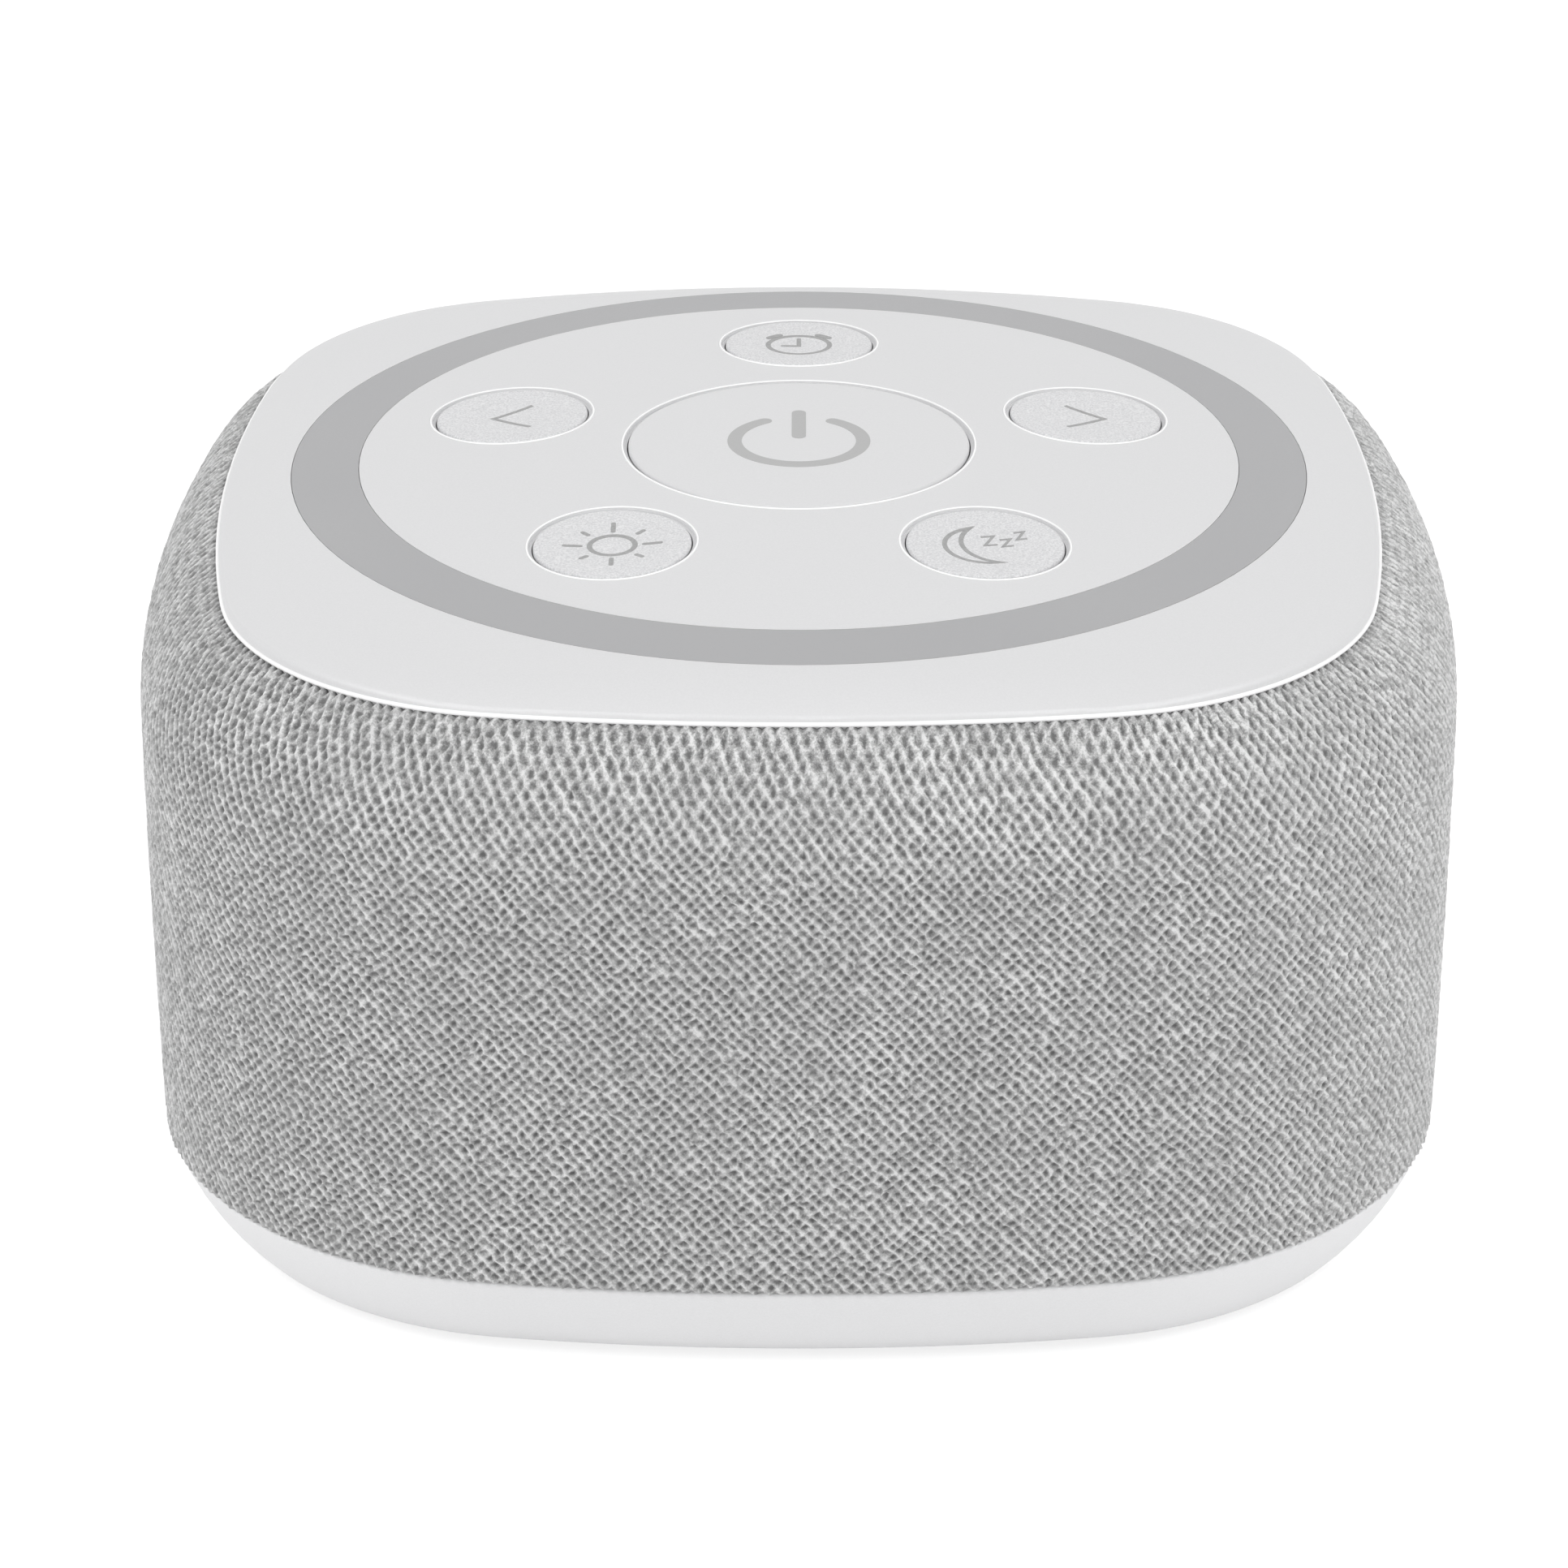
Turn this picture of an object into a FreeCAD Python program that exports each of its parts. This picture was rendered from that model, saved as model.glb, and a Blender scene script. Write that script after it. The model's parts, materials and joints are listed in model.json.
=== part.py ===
import FreeCAD, Part
import math
import os
from FreeCAD import Vector

# A bedside sound machine: a rounded-square body in a fabric sleeve, a tapered base and a domed top with six keys.
# The origin is at the middle of the footprint, on the table. +Z is up and the front looks along -Y.
# Driving sizes, in millimetres.

# Body seen from above: four slow side arcs and four corner arcs that meet smoothly
half_width = 53.0
side_radius = 160.0
corner_radius = 32.0

# Upright stack
foot_proud = 0.8
base_height = 7.4
overall_height = 57.6
crown_rise = 2.645

# Base
base_bottom_inset = 5.2
base_top_inset = 0.6
base_bulge = 0.5
base_wall = 2.0
base_floor = 2.2
base_edge_round = 0.35
rib_wall = 1.4
rib_rise = 1.2

# Fabric sleeve and the cabinet under it
sleeve_bottom_inset = 0.4
sleeve_thickness = 0.8
shoulder_radius = 13.0
shoulder_drop = 15.8
cabinet_wall = 2.0
flange_thickness = 2.2
slot_width = 3.0
slot_pitch = 6.0
slot_margin = 0.8

# Domed top: bezel, light ring and button panel
rim_inset = 6.5
rim_width = 3.6
rim_round = 0.7
roll_radius = 10.0
roll_wall_inset = 2.6
roll_side_radius = 260.0
roll_corner_radius = 27.0
bezel_seat_drop = 7.0
top_skin = 2.0
ring_to_rim = 5.5
ring_width = 5.5
ring_flange_lap = 1.5
ring_flange_thickness = 1.4

# Keys
small_hole_radius = 6.55
key_to_ring = 4.25
key_web = 4.0
key_gap = 0.36
key_edge_round = 0.25
key_skin = 1.6
key_skirt = 1.1
key_dish = 0.3
key_dish_margin = 0.9
key_travel = 0.5
collar_wall = 1.1
collar_depth = 3.5
key_flange_lap = 0.55
key_flange_thickness = 1.0
key_post_radius = 1.6

# Control board, switches and ring lights
board_thickness = 1.6
board_drop = 8.6
switch_side = 6.0
switch_height = 3.3
stem_radius = 1.7
stem_rise = 1.15
stem_depth = 0.9
channel_wall = 1.0
channel_floor = 0.8
light_count = 12
light_size = (3.5, 2.8, 1.9)
panel_boss_radius = 2.3
panel_boss_count = 5

# Speaker driver, which fires down
driver_clearance = 4.85
baffle_thickness = 2.5
basket_radius = 25.5
basket_mouth = 21.5
basket_neck = 14.8
basket_depth = 9.5
basket_sheet = 0.9
gasket_thickness = 0.6
cone_radius = 17.4
cone_thickness = 0.5
coil_radius = 6.2
coil_thickness = 0.5
pole_radius = 5.75
magnet_radius = 16.0
magnet_bore = 8.6
front_plate_radius = 14.2
front_plate_thickness = 2.5
magnet_thickness = 5.5
back_plate_thickness = 2.5
cone_travel = 0.8
spider_waves = 4
spider_rise = 0.6
roll_steps = 6
cap_steps = 3

# Deflector under the driver
deflector_thickness = 1.5
deflector_radius = 17.0
deflector_clearance = 2.0
deflector_tip = 2.6
deflector_hollow = 0.21
flank_steps = 4

# Main board and power socket, in the base
main_board_size = (44.0, 40.0, 1.2)
main_board_lift = 0.9
socket_size = (8.94, 7.35, 3.16)
socket_sheet = 0.3
socket_recess = 0.5
socket_sink = 1.1

# Wiring and the parts on the boards
ribbon_width = 11.0
ribbon_thickness = 0.5
ribbon_bow = 0.5
plug_height = 3.0
plug_depth = 4.0
plug_end = 1.0
plug_spacing = 5.0
lead_radius = 0.6
lead_spacing = 3.2
lead_bend = 4.0
terminal_size = (8.0, 5.0, 1.0)
lug_size = (1.6, 2.5, 0.8)
capacitor_radius = 3.15
capacitor_height = 3.8
capacitor_foot = 0.6
amplifier_size = (6.0, 6.0, 0.9)
processor_size = (8.0, 8.0, 1.0)
key_chip_size = (5.0, 5.0, 0.8)
tongue_size = (6.7, 5.9, 0.7)

# Feet and fasteners
foot_radius = 5.0
foot_thickness = 1.6
post_reach = 42.0
post_radius = 3.6
well_radius = 4.6
screw_shank = 1.4
screw_head = 2.7
screw_head_height = 1.8

# Clearances
seat_gap = 0.05
fit_gap = 0.15
body_gap = 0.3

UP = Vector(0, 0, 1)
ORIGIN = Vector(0, 0, 0)

# Side arc and corner arc radii of the body's outline, and of the slightly squarer one that shapes the roll
body_plan = (side_radius, corner_radius)
roll_plan = (roll_side_radius, roll_corner_radius)

# Heights worked out from the stack
base_top = foot_proud + base_height
floor_top = foot_proud + base_floor
rib_top = base_top + rib_rise
shoulder_z = overall_height - shoulder_drop
bezel_seat = overall_height - bezel_seat_drop
board_top = overall_height - board_drop
board_bottom = board_top - board_thickness
deflector_top = rib_top + seat_gap + deflector_thickness
motor_height = front_plate_thickness + magnet_thickness + back_plate_thickness
driver_top = board_bottom - driver_clearance
neck_z = driver_top - motor_height
basket_z = neck_z - basket_depth
baffle_top = basket_z - gasket_thickness
baffle_bottom = baffle_top - baffle_thickness
outlet_height = baffle_bottom - deflector_top
deflector_height = outlet_height - deflector_clearance
cabinet_face = sleeve_thickness + seat_gap
cabinet_bottom_inset = sleeve_bottom_inset + cabinet_face
cabinet_inner = cabinet_bottom_inset + cabinet_wall

# Plan sizes worked out from the outline
rim_half = half_width - rim_inset
crown_radius = (rim_half ** 2 + crown_rise ** 2) / (2 * crown_rise)
ring_outer = rim_half - ring_to_rim
ring_inner = ring_outer - ring_width
key_pitch = ring_inner - key_to_ring - small_hole_radius
power_hole_radius = key_pitch - small_hole_radius - key_web
flange_outer = ring_outer + ring_flange_lap
flange_inner = ring_inner - ring_flange_lap
board_radius = rim_half - rim_width - 2 * body_gap
light_radius = (ring_outer + ring_inner) / 2
boss_reach = flange_inner - 2 * panel_boss_radius

# The small keys, by the turn from +X of their place on the pitch circle
small_keys = {"next": 18, "alarm": 90, "previous": 162, "brightness": 234, "sleep_timer": 306}


def polar(radius, degrees, z=0.0):
    angle = math.radians(degrees)
    return Vector(radius * math.cos(angle), radius * math.sin(angle), z)


def outline_arcs(plan):
    """Centre, radius, start and sweep of each arc of an outline as wide as the body's waist."""
    side, corner = plan
    reach = side - half_width
    gap = side - corner
    corner_centre = (math.sqrt(2 * gap ** 2 - reach ** 2) - reach) / 2
    lean = math.degrees(math.atan2(corner_centre, corner_centre + reach))
    arcs = []
    for turn in (0, 90, 180, 270):
        arcs.append((polar(-reach, turn), side, turn - lean, 2 * lean))
        arcs.append((polar(math.sqrt(2) * corner_centre, turn + 45), corner, turn + lean, 90 - 2 * lean))
    return arcs


def outline(inset, z, plan=body_plan):
    """The outline, drawn in by inset, as a closed wire at height z."""
    edges = []
    for centre, radius, start, sweep in outline_arcs(plan):
        circle = Part.Circle(Vector(centre.x, centre.y, z), UP, radius - inset)
        edges.append(Part.ArcOfCircle(circle, math.radians(start), math.radians(start + sweep)).toShape())
    return Part.Wire(edges)


def slab(inset, low, high, plan=body_plan):
    """An upright block with the body's outline, drawn in by inset."""
    return Part.Face(outline(inset, low, plan)).extrude(Vector(0, 0, high - low))


def tube_slab(outer_inset, inner_inset, low, high):
    return slab(outer_inset, low, high).cut(slab(inner_inset, low, high))


def wrap(edges):
    """Faces made by carrying upright profile edges (x is minus the inset, z is height) round the outline."""
    faces = []
    for centre, radius, start, sweep in outline_arcs(body_plan):
        for edge in edges:
            swept = edge.copy()
            swept.translate(Vector(radius, 0, 0))
            swept.rotate(ORIGIN, UP, start)
            swept.translate(centre)
            faces += swept.revolve(centre, UP, sweep).Faces
    return faces


def close(faces):
    """One solid from faces that meet edge to edge."""
    shell = Part.makeShell(faces)
    shell.sewShape()
    solid = Part.makeSolid(shell)
    if solid.Volume < 0:
        solid.reverse()
    return solid


def line(start, end):
    """A straight edge of an upright profile, from (x, z) to (x, z)."""
    return Part.LineSegment(Vector(start[0], 0, start[1]), Vector(end[0], 0, end[1])).toShape()


def bow(start, end, rise):
    """An arc of an upright profile that stands out from its chord by rise, to the right of its way."""
    begin = Vector(start[0], 0, start[1])
    finish = Vector(end[0], 0, end[1])
    way = finish - begin
    side = Vector(way.z, 0, -way.x)
    side.normalize()
    return Part.Arc(begin, (begin + finish) / 2 + side * rise, finish).toShape()


def bowed_points(start, end, rise, steps):
    """Points of a profile that stands out from its chord by rise, to the right of its way."""
    run = end[0] - start[0]
    climb = end[1] - start[1]
    points = []
    for step in range(steps + 1):
        share = step / steps
        out = 4 * rise * share * (1 - share) / math.hypot(run, climb)
        points.append((start[0] + run * share + climb * out, start[1] + climb * share - run * out))
    return points


def chain(points):
    """Straight profile edges through the points."""
    return [line(a, b) for a, b in zip(points, points[1:])]


def turned(edges):
    """A solid of revolution about the axis from a closed profile of (radius, z)."""
    return Part.Face(Part.Wire(Part.__sortEdges__(edges))).revolve(ORIGIN, UP, 360)


def turned_points(points):
    return turned(chain(points + points[:1]))


def cylinder(radius, low, high, at=ORIGIN):
    return Part.makeCylinder(radius, high - low, Vector(at.x, at.y, low), UP)


def pipe(outer, inner, low, high, at=ORIGIN):
    return cylinder(outer, low, high, at).cut(cylinder(inner, low, high, at))


def block(size, low, at=ORIGIN, turn=0):
    """A box of (x, y, z) size, centred on a place in plan and turned about it, from height low."""
    box = Part.makeBox(size[0], size[1], size[2], Vector(-size[0] / 2, -size[1] / 2, low))
    box.rotate(ORIGIN, UP, turn)
    box.translate(Vector(at.x, at.y, 0))
    return box


def join(shapes):
    return shapes[0].multiFuse(shapes[1:]).removeSplitter()


def group(shapes):
    return Part.makeCompound(shapes)


def crown(depth=0.0):
    """The ball whose top is the crown of the object, or the one that lies depth under it."""
    ball = Part.makeSphere(crown_radius - depth, ORIGIN, Vector(1, 0, 0))
    ball.rotate(ORIGIN, Vector(1, 0, 0), 180)
    ball.translate(Vector(0, 0, overall_height - crown_radius))
    return ball


def crown_z(radius, depth=0.0):
    """Height of the crown at a distance from the axis."""
    return overall_height - crown_radius + math.sqrt((crown_radius - depth) ** 2 - radius ** 2)


def under_crown(shape, depth):
    return shape.common(crown(depth))


def shoulder(x, inset):
    """Height at x of the shoulder arc that lies inset under the fabric's face."""
    radius = shoulder_radius - inset
    return shoulder_z + math.sqrt(radius ** 2 - (x + shoulder_radius) ** 2)


def shoulder_arc(inset, x_end, reverse=False):
    """The shoulder's profile arc, inset under the fabric's face, from upright to x_end."""
    radius = shoulder_radius - inset
    middle = math.acos((x_end + shoulder_radius) / radius) / 2
    start = Vector(-inset, 0, shoulder_z)
    halfway = Vector(-shoulder_radius + radius * math.cos(middle), 0, shoulder_z + radius * math.sin(middle))
    end = Vector(x_end, 0, shoulder(x_end, inset))
    return Part.Arc(start, halfway, end).toShape()


def screw(at, seat, length, way):
    """A plain screw: the head's seat is at height seat and the shank runs length along way (+1 or -1)."""
    body = cylinder(screw_head, -screw_head_height, 0).fuse(cylinder(screw_shank, 0, length))
    if way < 0:
        body.rotate(ORIGIN, Vector(1, 0, 0), 180)
    body.translate(Vector(at.x, at.y, seat))
    return body


def corner_reach(inset=0.0):
    """Distance from the axis to the outline's corner, drawn in by inset."""
    centre, radius, start, sweep = outline_arcs(body_plan)[1]
    return centre.Length + radius - inset


def corner_places(reach):
    return [polar(reach, turn) for turn in (45, 135, 225, 315)]


def rim_edges(shape, radius, at, low):
    """Round edges of a given radius about a place in plan, above height low."""
    found = []
    for edge in shape.Edges:
        box = edge.BoundBox
        same_size = abs(box.XLength - 2 * radius) < key_gap and abs(box.YLength - 2 * radius) < key_gap
        same_place = math.hypot(box.Center.x - at.x, box.Center.y - at.y) < key_gap
        if same_size and same_place and box.ZMin > low:
            found.append(edge)
    return found


def keys():
    """Name, hole radius and place of every key."""
    rows = [("power", power_hole_radius, ORIGIN)]
    for name, turn in small_keys.items():
        rows.append((name, small_hole_radius, polar(key_pitch, turn)))
    return rows


# Base, feet and the screws that hold the base to the cabinet

foot_seat = foot_thickness + seat_gap
base_screw_seat = foot_seat + screw_head_height + fit_gap
main_board_low = floor_top + main_board_lift
main_board_top = main_board_low + main_board_size[2]
socket_z = main_board_top - socket_sink + socket_size[2] / 2
rib_inner_inset = cabinet_inner + fit_gap + rib_wall


def base_side(inset):
    """Low and high end of the base's side profile, moved in by inset."""
    return (-base_bottom_inset - inset, foot_proud), (-base_top_inset - inset, base_top)


def tapered_block(side):
    """The block inside a side profile carried round the outline."""
    ends = [Part.Face(outline(-corner.X, corner.Z)) for corner in side.Vertexes]
    return close(wrap([side]) + ends)


def base_face_inset(z):
    """Inset of the base's side wall at height z."""
    share = (z - foot_proud) / base_height
    chord = base_bottom_inset + (base_top_inset - base_bottom_inset) * share
    return chord - 4 * base_bulge * share * (1 - share)


def capsule(width, height, start, length, z):
    """A bar with round ends that lies along +Y from y = start, centred on height z."""
    radius = height / 2
    reach = width / 2 - radius
    parts = [Part.makeBox(2 * reach, length, height, Vector(-reach, start, z - radius))]
    for side in (-reach, reach):
        parts.append(Part.makeCylinder(radius, length, Vector(side, start, z), Vector(0, 1, 0)))
    return join(parts)


def standoff_places():
    """Places of the main board's four screws."""
    across = main_board_size[0] / 2 - 2 * screw_shank
    centre = main_board_place().y
    along = main_board_size[1] / 2 - 2 * screw_shank
    return [Vector(x, centre + y, 0) for x in (-across, across) for y in (-along, along)]


def main_board_place():
    """The board's middle: its back corners stop just short of the base's bowed rib."""
    bow_back = side_radius - math.sqrt(side_radius ** 2 - (main_board_size[0] / 2) ** 2)
    back = half_width - rib_inner_inset - bow_back - 2 * body_gap
    return Vector(0, back - main_board_size[1] / 2, 0)


def base():
    tray = tapered_block(bow(*base_side(0), base_bulge))
    rims = [edge for edge in tray.Edges if edge.BoundBox.ZLength < 0.01]
    tray = tray.makeFillet(base_edge_round, rims)
    hollow = tapered_block(line(*base_side(base_wall)))
    tray = tray.cut(hollow.common(slab(0, floor_top, base_top)))
    extra = [tube_slab(cabinet_inner + fit_gap, rib_inner_inset, floor_top, rib_top)]
    for place in corner_places(post_reach):
        extra.append(cylinder(well_radius, floor_top, base_top, place))
    for place in standoff_places():
        extra.append(cylinder(2 * screw_shank, floor_top, main_board_low, place))
    tray = tray.multiFuse(extra)
    for place in corner_places(post_reach):
        tray = tray.cut(cylinder(foot_radius + fit_gap, 0, foot_seat, place))
        tray = tray.cut(cylinder(screw_head + body_gap, 0, base_screw_seat, place))
        tray = tray.cut(cylinder(screw_shank + fit_gap, 0, rib_top, place))
    for place in standoff_places():
        tray = tray.cut(cylinder(screw_shank + seat_gap, floor_top - base_floor / 2, main_board_low, place))
    depth = base_bottom_inset + base_wall + body_gap
    port = capsule(socket_size[0] + 2 * body_gap, socket_size[2] + 2 * body_gap, half_width - depth, depth, socket_z)
    return tray.cut(port).removeSplitter()


def feet():
    pads = []
    for place in corner_places(post_reach):
        pad = cylinder(foot_radius, 0, foot_thickness, place)
        low_edge = [edge for edge in pad.Edges if edge.BoundBox.ZMax < 0.01]
        pads.append(pad.makeChamfer(foot_proud / 2, low_edge))
    return group(pads)


def base_screws():
    length = (rib_top + baffle_bottom) / 2 - base_screw_seat
    return group([screw(place, base_screw_seat, length, 1) for place in corner_places(post_reach)])


# Cabinet and fabric sleeve

lip_inset = rim_inset - fit_gap
flange_inset = rim_inset + rim_width + fit_gap
flange_low = bezel_seat - flange_thickness
cabinet_low = base_top + seat_gap
rim_screw_reach = corner_reach(rim_inset + rim_width / 2)
slot_low = deflector_top + slot_margin
slot_high = baffle_bottom - slot_margin


def side_bow(inset, low):
    """The long side profile, inset under the fabric's face, upright where the shoulder starts."""
    return bow((-sleeve_bottom_inset - inset, low), (-inset, shoulder_z), sleeve_bottom_inset / 4)


def shoulder_x(z, inset):
    radius = shoulder_radius - inset
    return -shoulder_radius + math.sqrt(radius ** 2 - (z - shoulder_z) ** 2)


def cabinet_shell():
    """The wall and its top flange, as one profile carried round the outline."""
    outer = cabinet_face
    inner = cabinet_face + cabinet_wall
    flange_x = shoulder_x(flange_low, inner)
    edges = [side_bow(outer, cabinet_low), shoulder_arc(outer, -lip_inset)]
    edges += chain([(-lip_inset, shoulder(-lip_inset, outer)), (-lip_inset, bezel_seat),
                    (-flange_inset, bezel_seat), (-flange_inset, flange_low), (flange_x, flange_low)])
    edges += [shoulder_arc(inner, flange_x), side_bow(inner, cabinet_low)]
    edges.append(line((-sleeve_bottom_inset - inner, cabinet_low), (-sleeve_bottom_inset - outer, cabinet_low)))
    return close(wrap(edges))


def sound_slots():
    """Upright slots all round the cabinet, an even number on each arc so that none meets a corner web."""
    cutters = []
    for centre, radius, start, sweep in outline_arcs(body_plan):
        count = 2 * round(math.radians(sweep) * radius / slot_pitch / 2)
        for step in range(count):
            turn = start + sweep * (step + 0.5) / count
            place = centre + polar(radius - cabinet_inner + cabinet_wall / 2, turn)
            cutters.append(block((3 * cabinet_wall, slot_width, slot_high - slot_low), slot_low, place, turn))
    return cutters


def corner_web(place, gap):
    """The web that ties a corner post to the wall, or with a gap the notch that clears it."""
    reach = corner_reach(cabinet_inner - cabinet_wall / 2) - post_reach
    middle = place * ((post_reach + reach / 2) / post_reach)
    turn = math.degrees(math.atan2(place.y, place.x))
    low = deflector_top + seat_gap
    return block((reach, rib_wall + 2 * gap, baffle_bottom - seat_gap - low), low, middle, turn)


def cabinet():
    shell = cabinet_shell()
    posts = []
    for place in corner_places(post_reach):
        posts.append(cylinder(post_radius, cabinet_low, baffle_bottom - seat_gap, place))
        posts.append(corner_web(place, 0))
    shell = shell.multiFuse(posts)
    cutters = sound_slots()
    for place in corner_places(post_reach):
        cutters.append(cylinder(screw_shank + seat_gap, cabinet_low, baffle_bottom, place))
    for place in corner_places(rim_screw_reach):
        cutters.append(cylinder(screw_shank + fit_gap, flange_low - 1, bezel_seat + 1, place))
    return shell.cut(cutters).removeSplitter()


def fabric_sleeve():
    low = base_top + 2 * seat_gap
    inner = sleeve_thickness
    top_x = -(rim_inset - 2 * seat_gap)
    edges = [side_bow(0, low), shoulder_arc(0, top_x)]
    edges.append(line((top_x, shoulder(top_x, 0)), (top_x, shoulder(top_x, inner))))
    edges += [shoulder_arc(inner, top_x), side_bow(inner, low)]
    edges.append(line((-sleeve_bottom_inset - inner, low), (-sleeve_bottom_inset, low)))
    return close(wrap(edges))


# Top: bezel, light ring, button panel and keys

ear_radius = screw_head
ear_reach = (board_radius + corner_reach(flange_inset)) / 2
ear_top = board_top + channel_wall + channel_floor
flange_under = top_skin + seat_gap + ring_flange_thickness
above = overall_height + 1


def rolled_crown():
    """The crown over the whole top, rolled down all round its edge."""
    low = bezel_seat - 2 * roll_radius
    body = under_crown(slab(roll_wall_inset, low, above, roll_plan), 0)
    return body.makeFillet(roll_radius, [edge for edge in body.Edges if edge.BoundBox.ZMin > low + roll_radius])


def rim_top(plate):
    """Edges where the rolled face meets the upright rim."""
    edges = []
    for face in plate.Faces:
        reaches_seat = face.BoundBox.ZMin < bezel_seat + 0.01
        if reaches_seat and face.BoundBox.ZLength > 1:
            edges += [edge for edge in face.Edges if edge.BoundBox.ZMin > bezel_seat + 1]
    return edges


def rim_ring(low, high):
    """The bezel's upright rim wall."""
    return tube_slab(rim_inset, rim_inset + rim_width, low, high)


def top_bezel():
    """The outer part of the top: rolled edge, rim that sits on the cabinet's flange, and four ear bosses."""
    plate = rolled_crown().common(slab(rim_inset, bezel_seat, above))
    plate = plate.makeFillet(rim_round, rim_top(plate))
    hollow = under_crown(slab(rim_inset + rim_width, bezel_seat, above), top_skin)
    plate = plate.cut(hollow).cut(cylinder(ring_outer, bezel_seat, above))
    bosses = [under_crown(cylinder(ear_radius, ear_top + seat_gap, above, place), top_skin / 2)
              for place in corner_places(ear_reach)]
    plate = plate.multiFuse(bosses)
    cutters = []
    for place in corner_places(ear_reach):
        cutters.append(under_crown(cylinder(screw_shank + seat_gap, ear_top, above, place), top_skin * 0.75))
    for place in corner_places(rim_screw_reach):
        cutters.append(cylinder(screw_shank + seat_gap, bezel_seat, bezel_seat + 1.5 * screw_shank, place))
    return plate.cut(cutters).removeSplitter()


def ring_band(outer, inner, top_depth, bottom_depth):
    """A ring that follows the crown between two depths under it."""
    low = crown_z(outer, bottom_depth) - 1
    return under_crown(pipe(outer, inner, low, above), top_depth).cut(crown(bottom_depth))


def light_ring():
    """The flush translucent ring with the flanges that hold it under the bezel and the panel."""
    band = ring_band(ring_outer - seat_gap, ring_inner + seat_gap, 0, flange_under)
    flange = ring_band(flange_outer, flange_inner, top_skin + seat_gap, flange_under)
    return join([band, flange])


def button_panel():
    """The round panel inside the ring, with a collar for each key and bosses for the board."""
    panel = under_crown(cylinder(ring_inner, board_top, above), 0).cut(crown(top_skin))
    parts = [panel]
    for name, radius, place in keys():
        low = crown_z(place.Length) - collar_depth
        parts.append(under_crown(cylinder(radius + collar_wall, low, above, place), top_skin / 2))
    for place in boss_places():
        parts.append(under_crown(cylinder(panel_boss_radius, board_top + seat_gap, above, place), top_skin / 2))
    panel = join(parts)
    for name, radius, place in keys():
        panel = panel.cut(cylinder(radius, board_top, above, place))
        panel = panel.makeFillet(key_edge_round, rim_edges(panel, radius, place, crown_z(place.Length) - 1))
    pilots = [cylinder(screw_shank + seat_gap, board_top, crown_z(boss_reach) - top_skin, place)
              for place in boss_places()]
    return panel.cut(pilots)


def boss_places():
    """Places of the board's screws: between the small keys, and clear of the power key."""
    first = small_keys["next"] + 180 / panel_boss_count
    return [polar(boss_reach, first + 360 * step / panel_boss_count) for step in range(panel_boss_count)]


def key(radius, place, dished):
    """A key cap: face flush with the crown, hollow skirt, retaining flange and a post for the switch."""
    cap_radius = radius - key_gap
    face = crown_z(place.Length)
    flange_top = face - collar_depth - body_gap
    low = flange_top - key_flange_thickness
    cap = under_crown(cylinder(cap_radius, low, above, place), 0)
    cap = cap.makeFillet(key_edge_round, rim_edges(cap, cap_radius, place, face - 1))
    if dished:
        cap = cap.cut(dish(cap_radius - key_dish_margin, place, face))
    ceiling = face - key_dish - key_skin
    cap = cap.cut(cylinder(cap_radius - key_skirt, low, ceiling, place))
    flange = pipe(radius + key_flange_lap, cap_radius - key_skirt, low, flange_top, place)
    post = cylinder(key_post_radius, stem_top, ceiling + key_skin / 2, place)
    return join([cap, flange, post])


def dish(width, place, face):
    """The ball that hollows a small key's face, set square to the crown there."""
    radius = (width ** 2 + key_dish ** 2) / (2 * key_dish)
    centre = Vector(0, 0, overall_height - crown_radius)
    spot = Vector(place.x, place.y, face)
    normal = (spot - centre).normalize()
    return Part.makeSphere(radius, spot + normal * (radius - key_dish), Vector(1, 0, 0))


# Control board with its switches and lights

switch_top = board_top + switch_height
stem_top = switch_top + stem_rise


def stem(place):
    """The moving plunger of a tact switch."""
    return cylinder(stem_radius, switch_top - stem_depth, stem_top, place)


def switch_bodies():
    bodies = []
    for name, radius, place in keys():
        body = block((switch_side, switch_side, switch_height), board_top, place)
        bore = cylinder(stem_radius + body_gap, switch_top - stem_depth - key_travel - body_gap, above, place)
        bodies.append(body.cut(bore))
    return group(bodies)


def control_board():
    board = cylinder(board_radius, board_bottom, board_top)
    holes = [cylinder(screw_shank + fit_gap, board_bottom, board_top, place) for place in boss_places()]
    return board.cut(holes)


def ring_lights():
    lights = []
    for step in range(light_count):
        turn = 360 * (step + 0.5) / light_count
        place = polar(light_radius, turn)
        light = block(light_size, board_top, place, turn + 90)
        lens = cylinder(light_size[1] * 0.4, board_top + light_size[2] * 0.85, above, place)
        lights.append(light.cut(lens))
    return group(lights)


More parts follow.
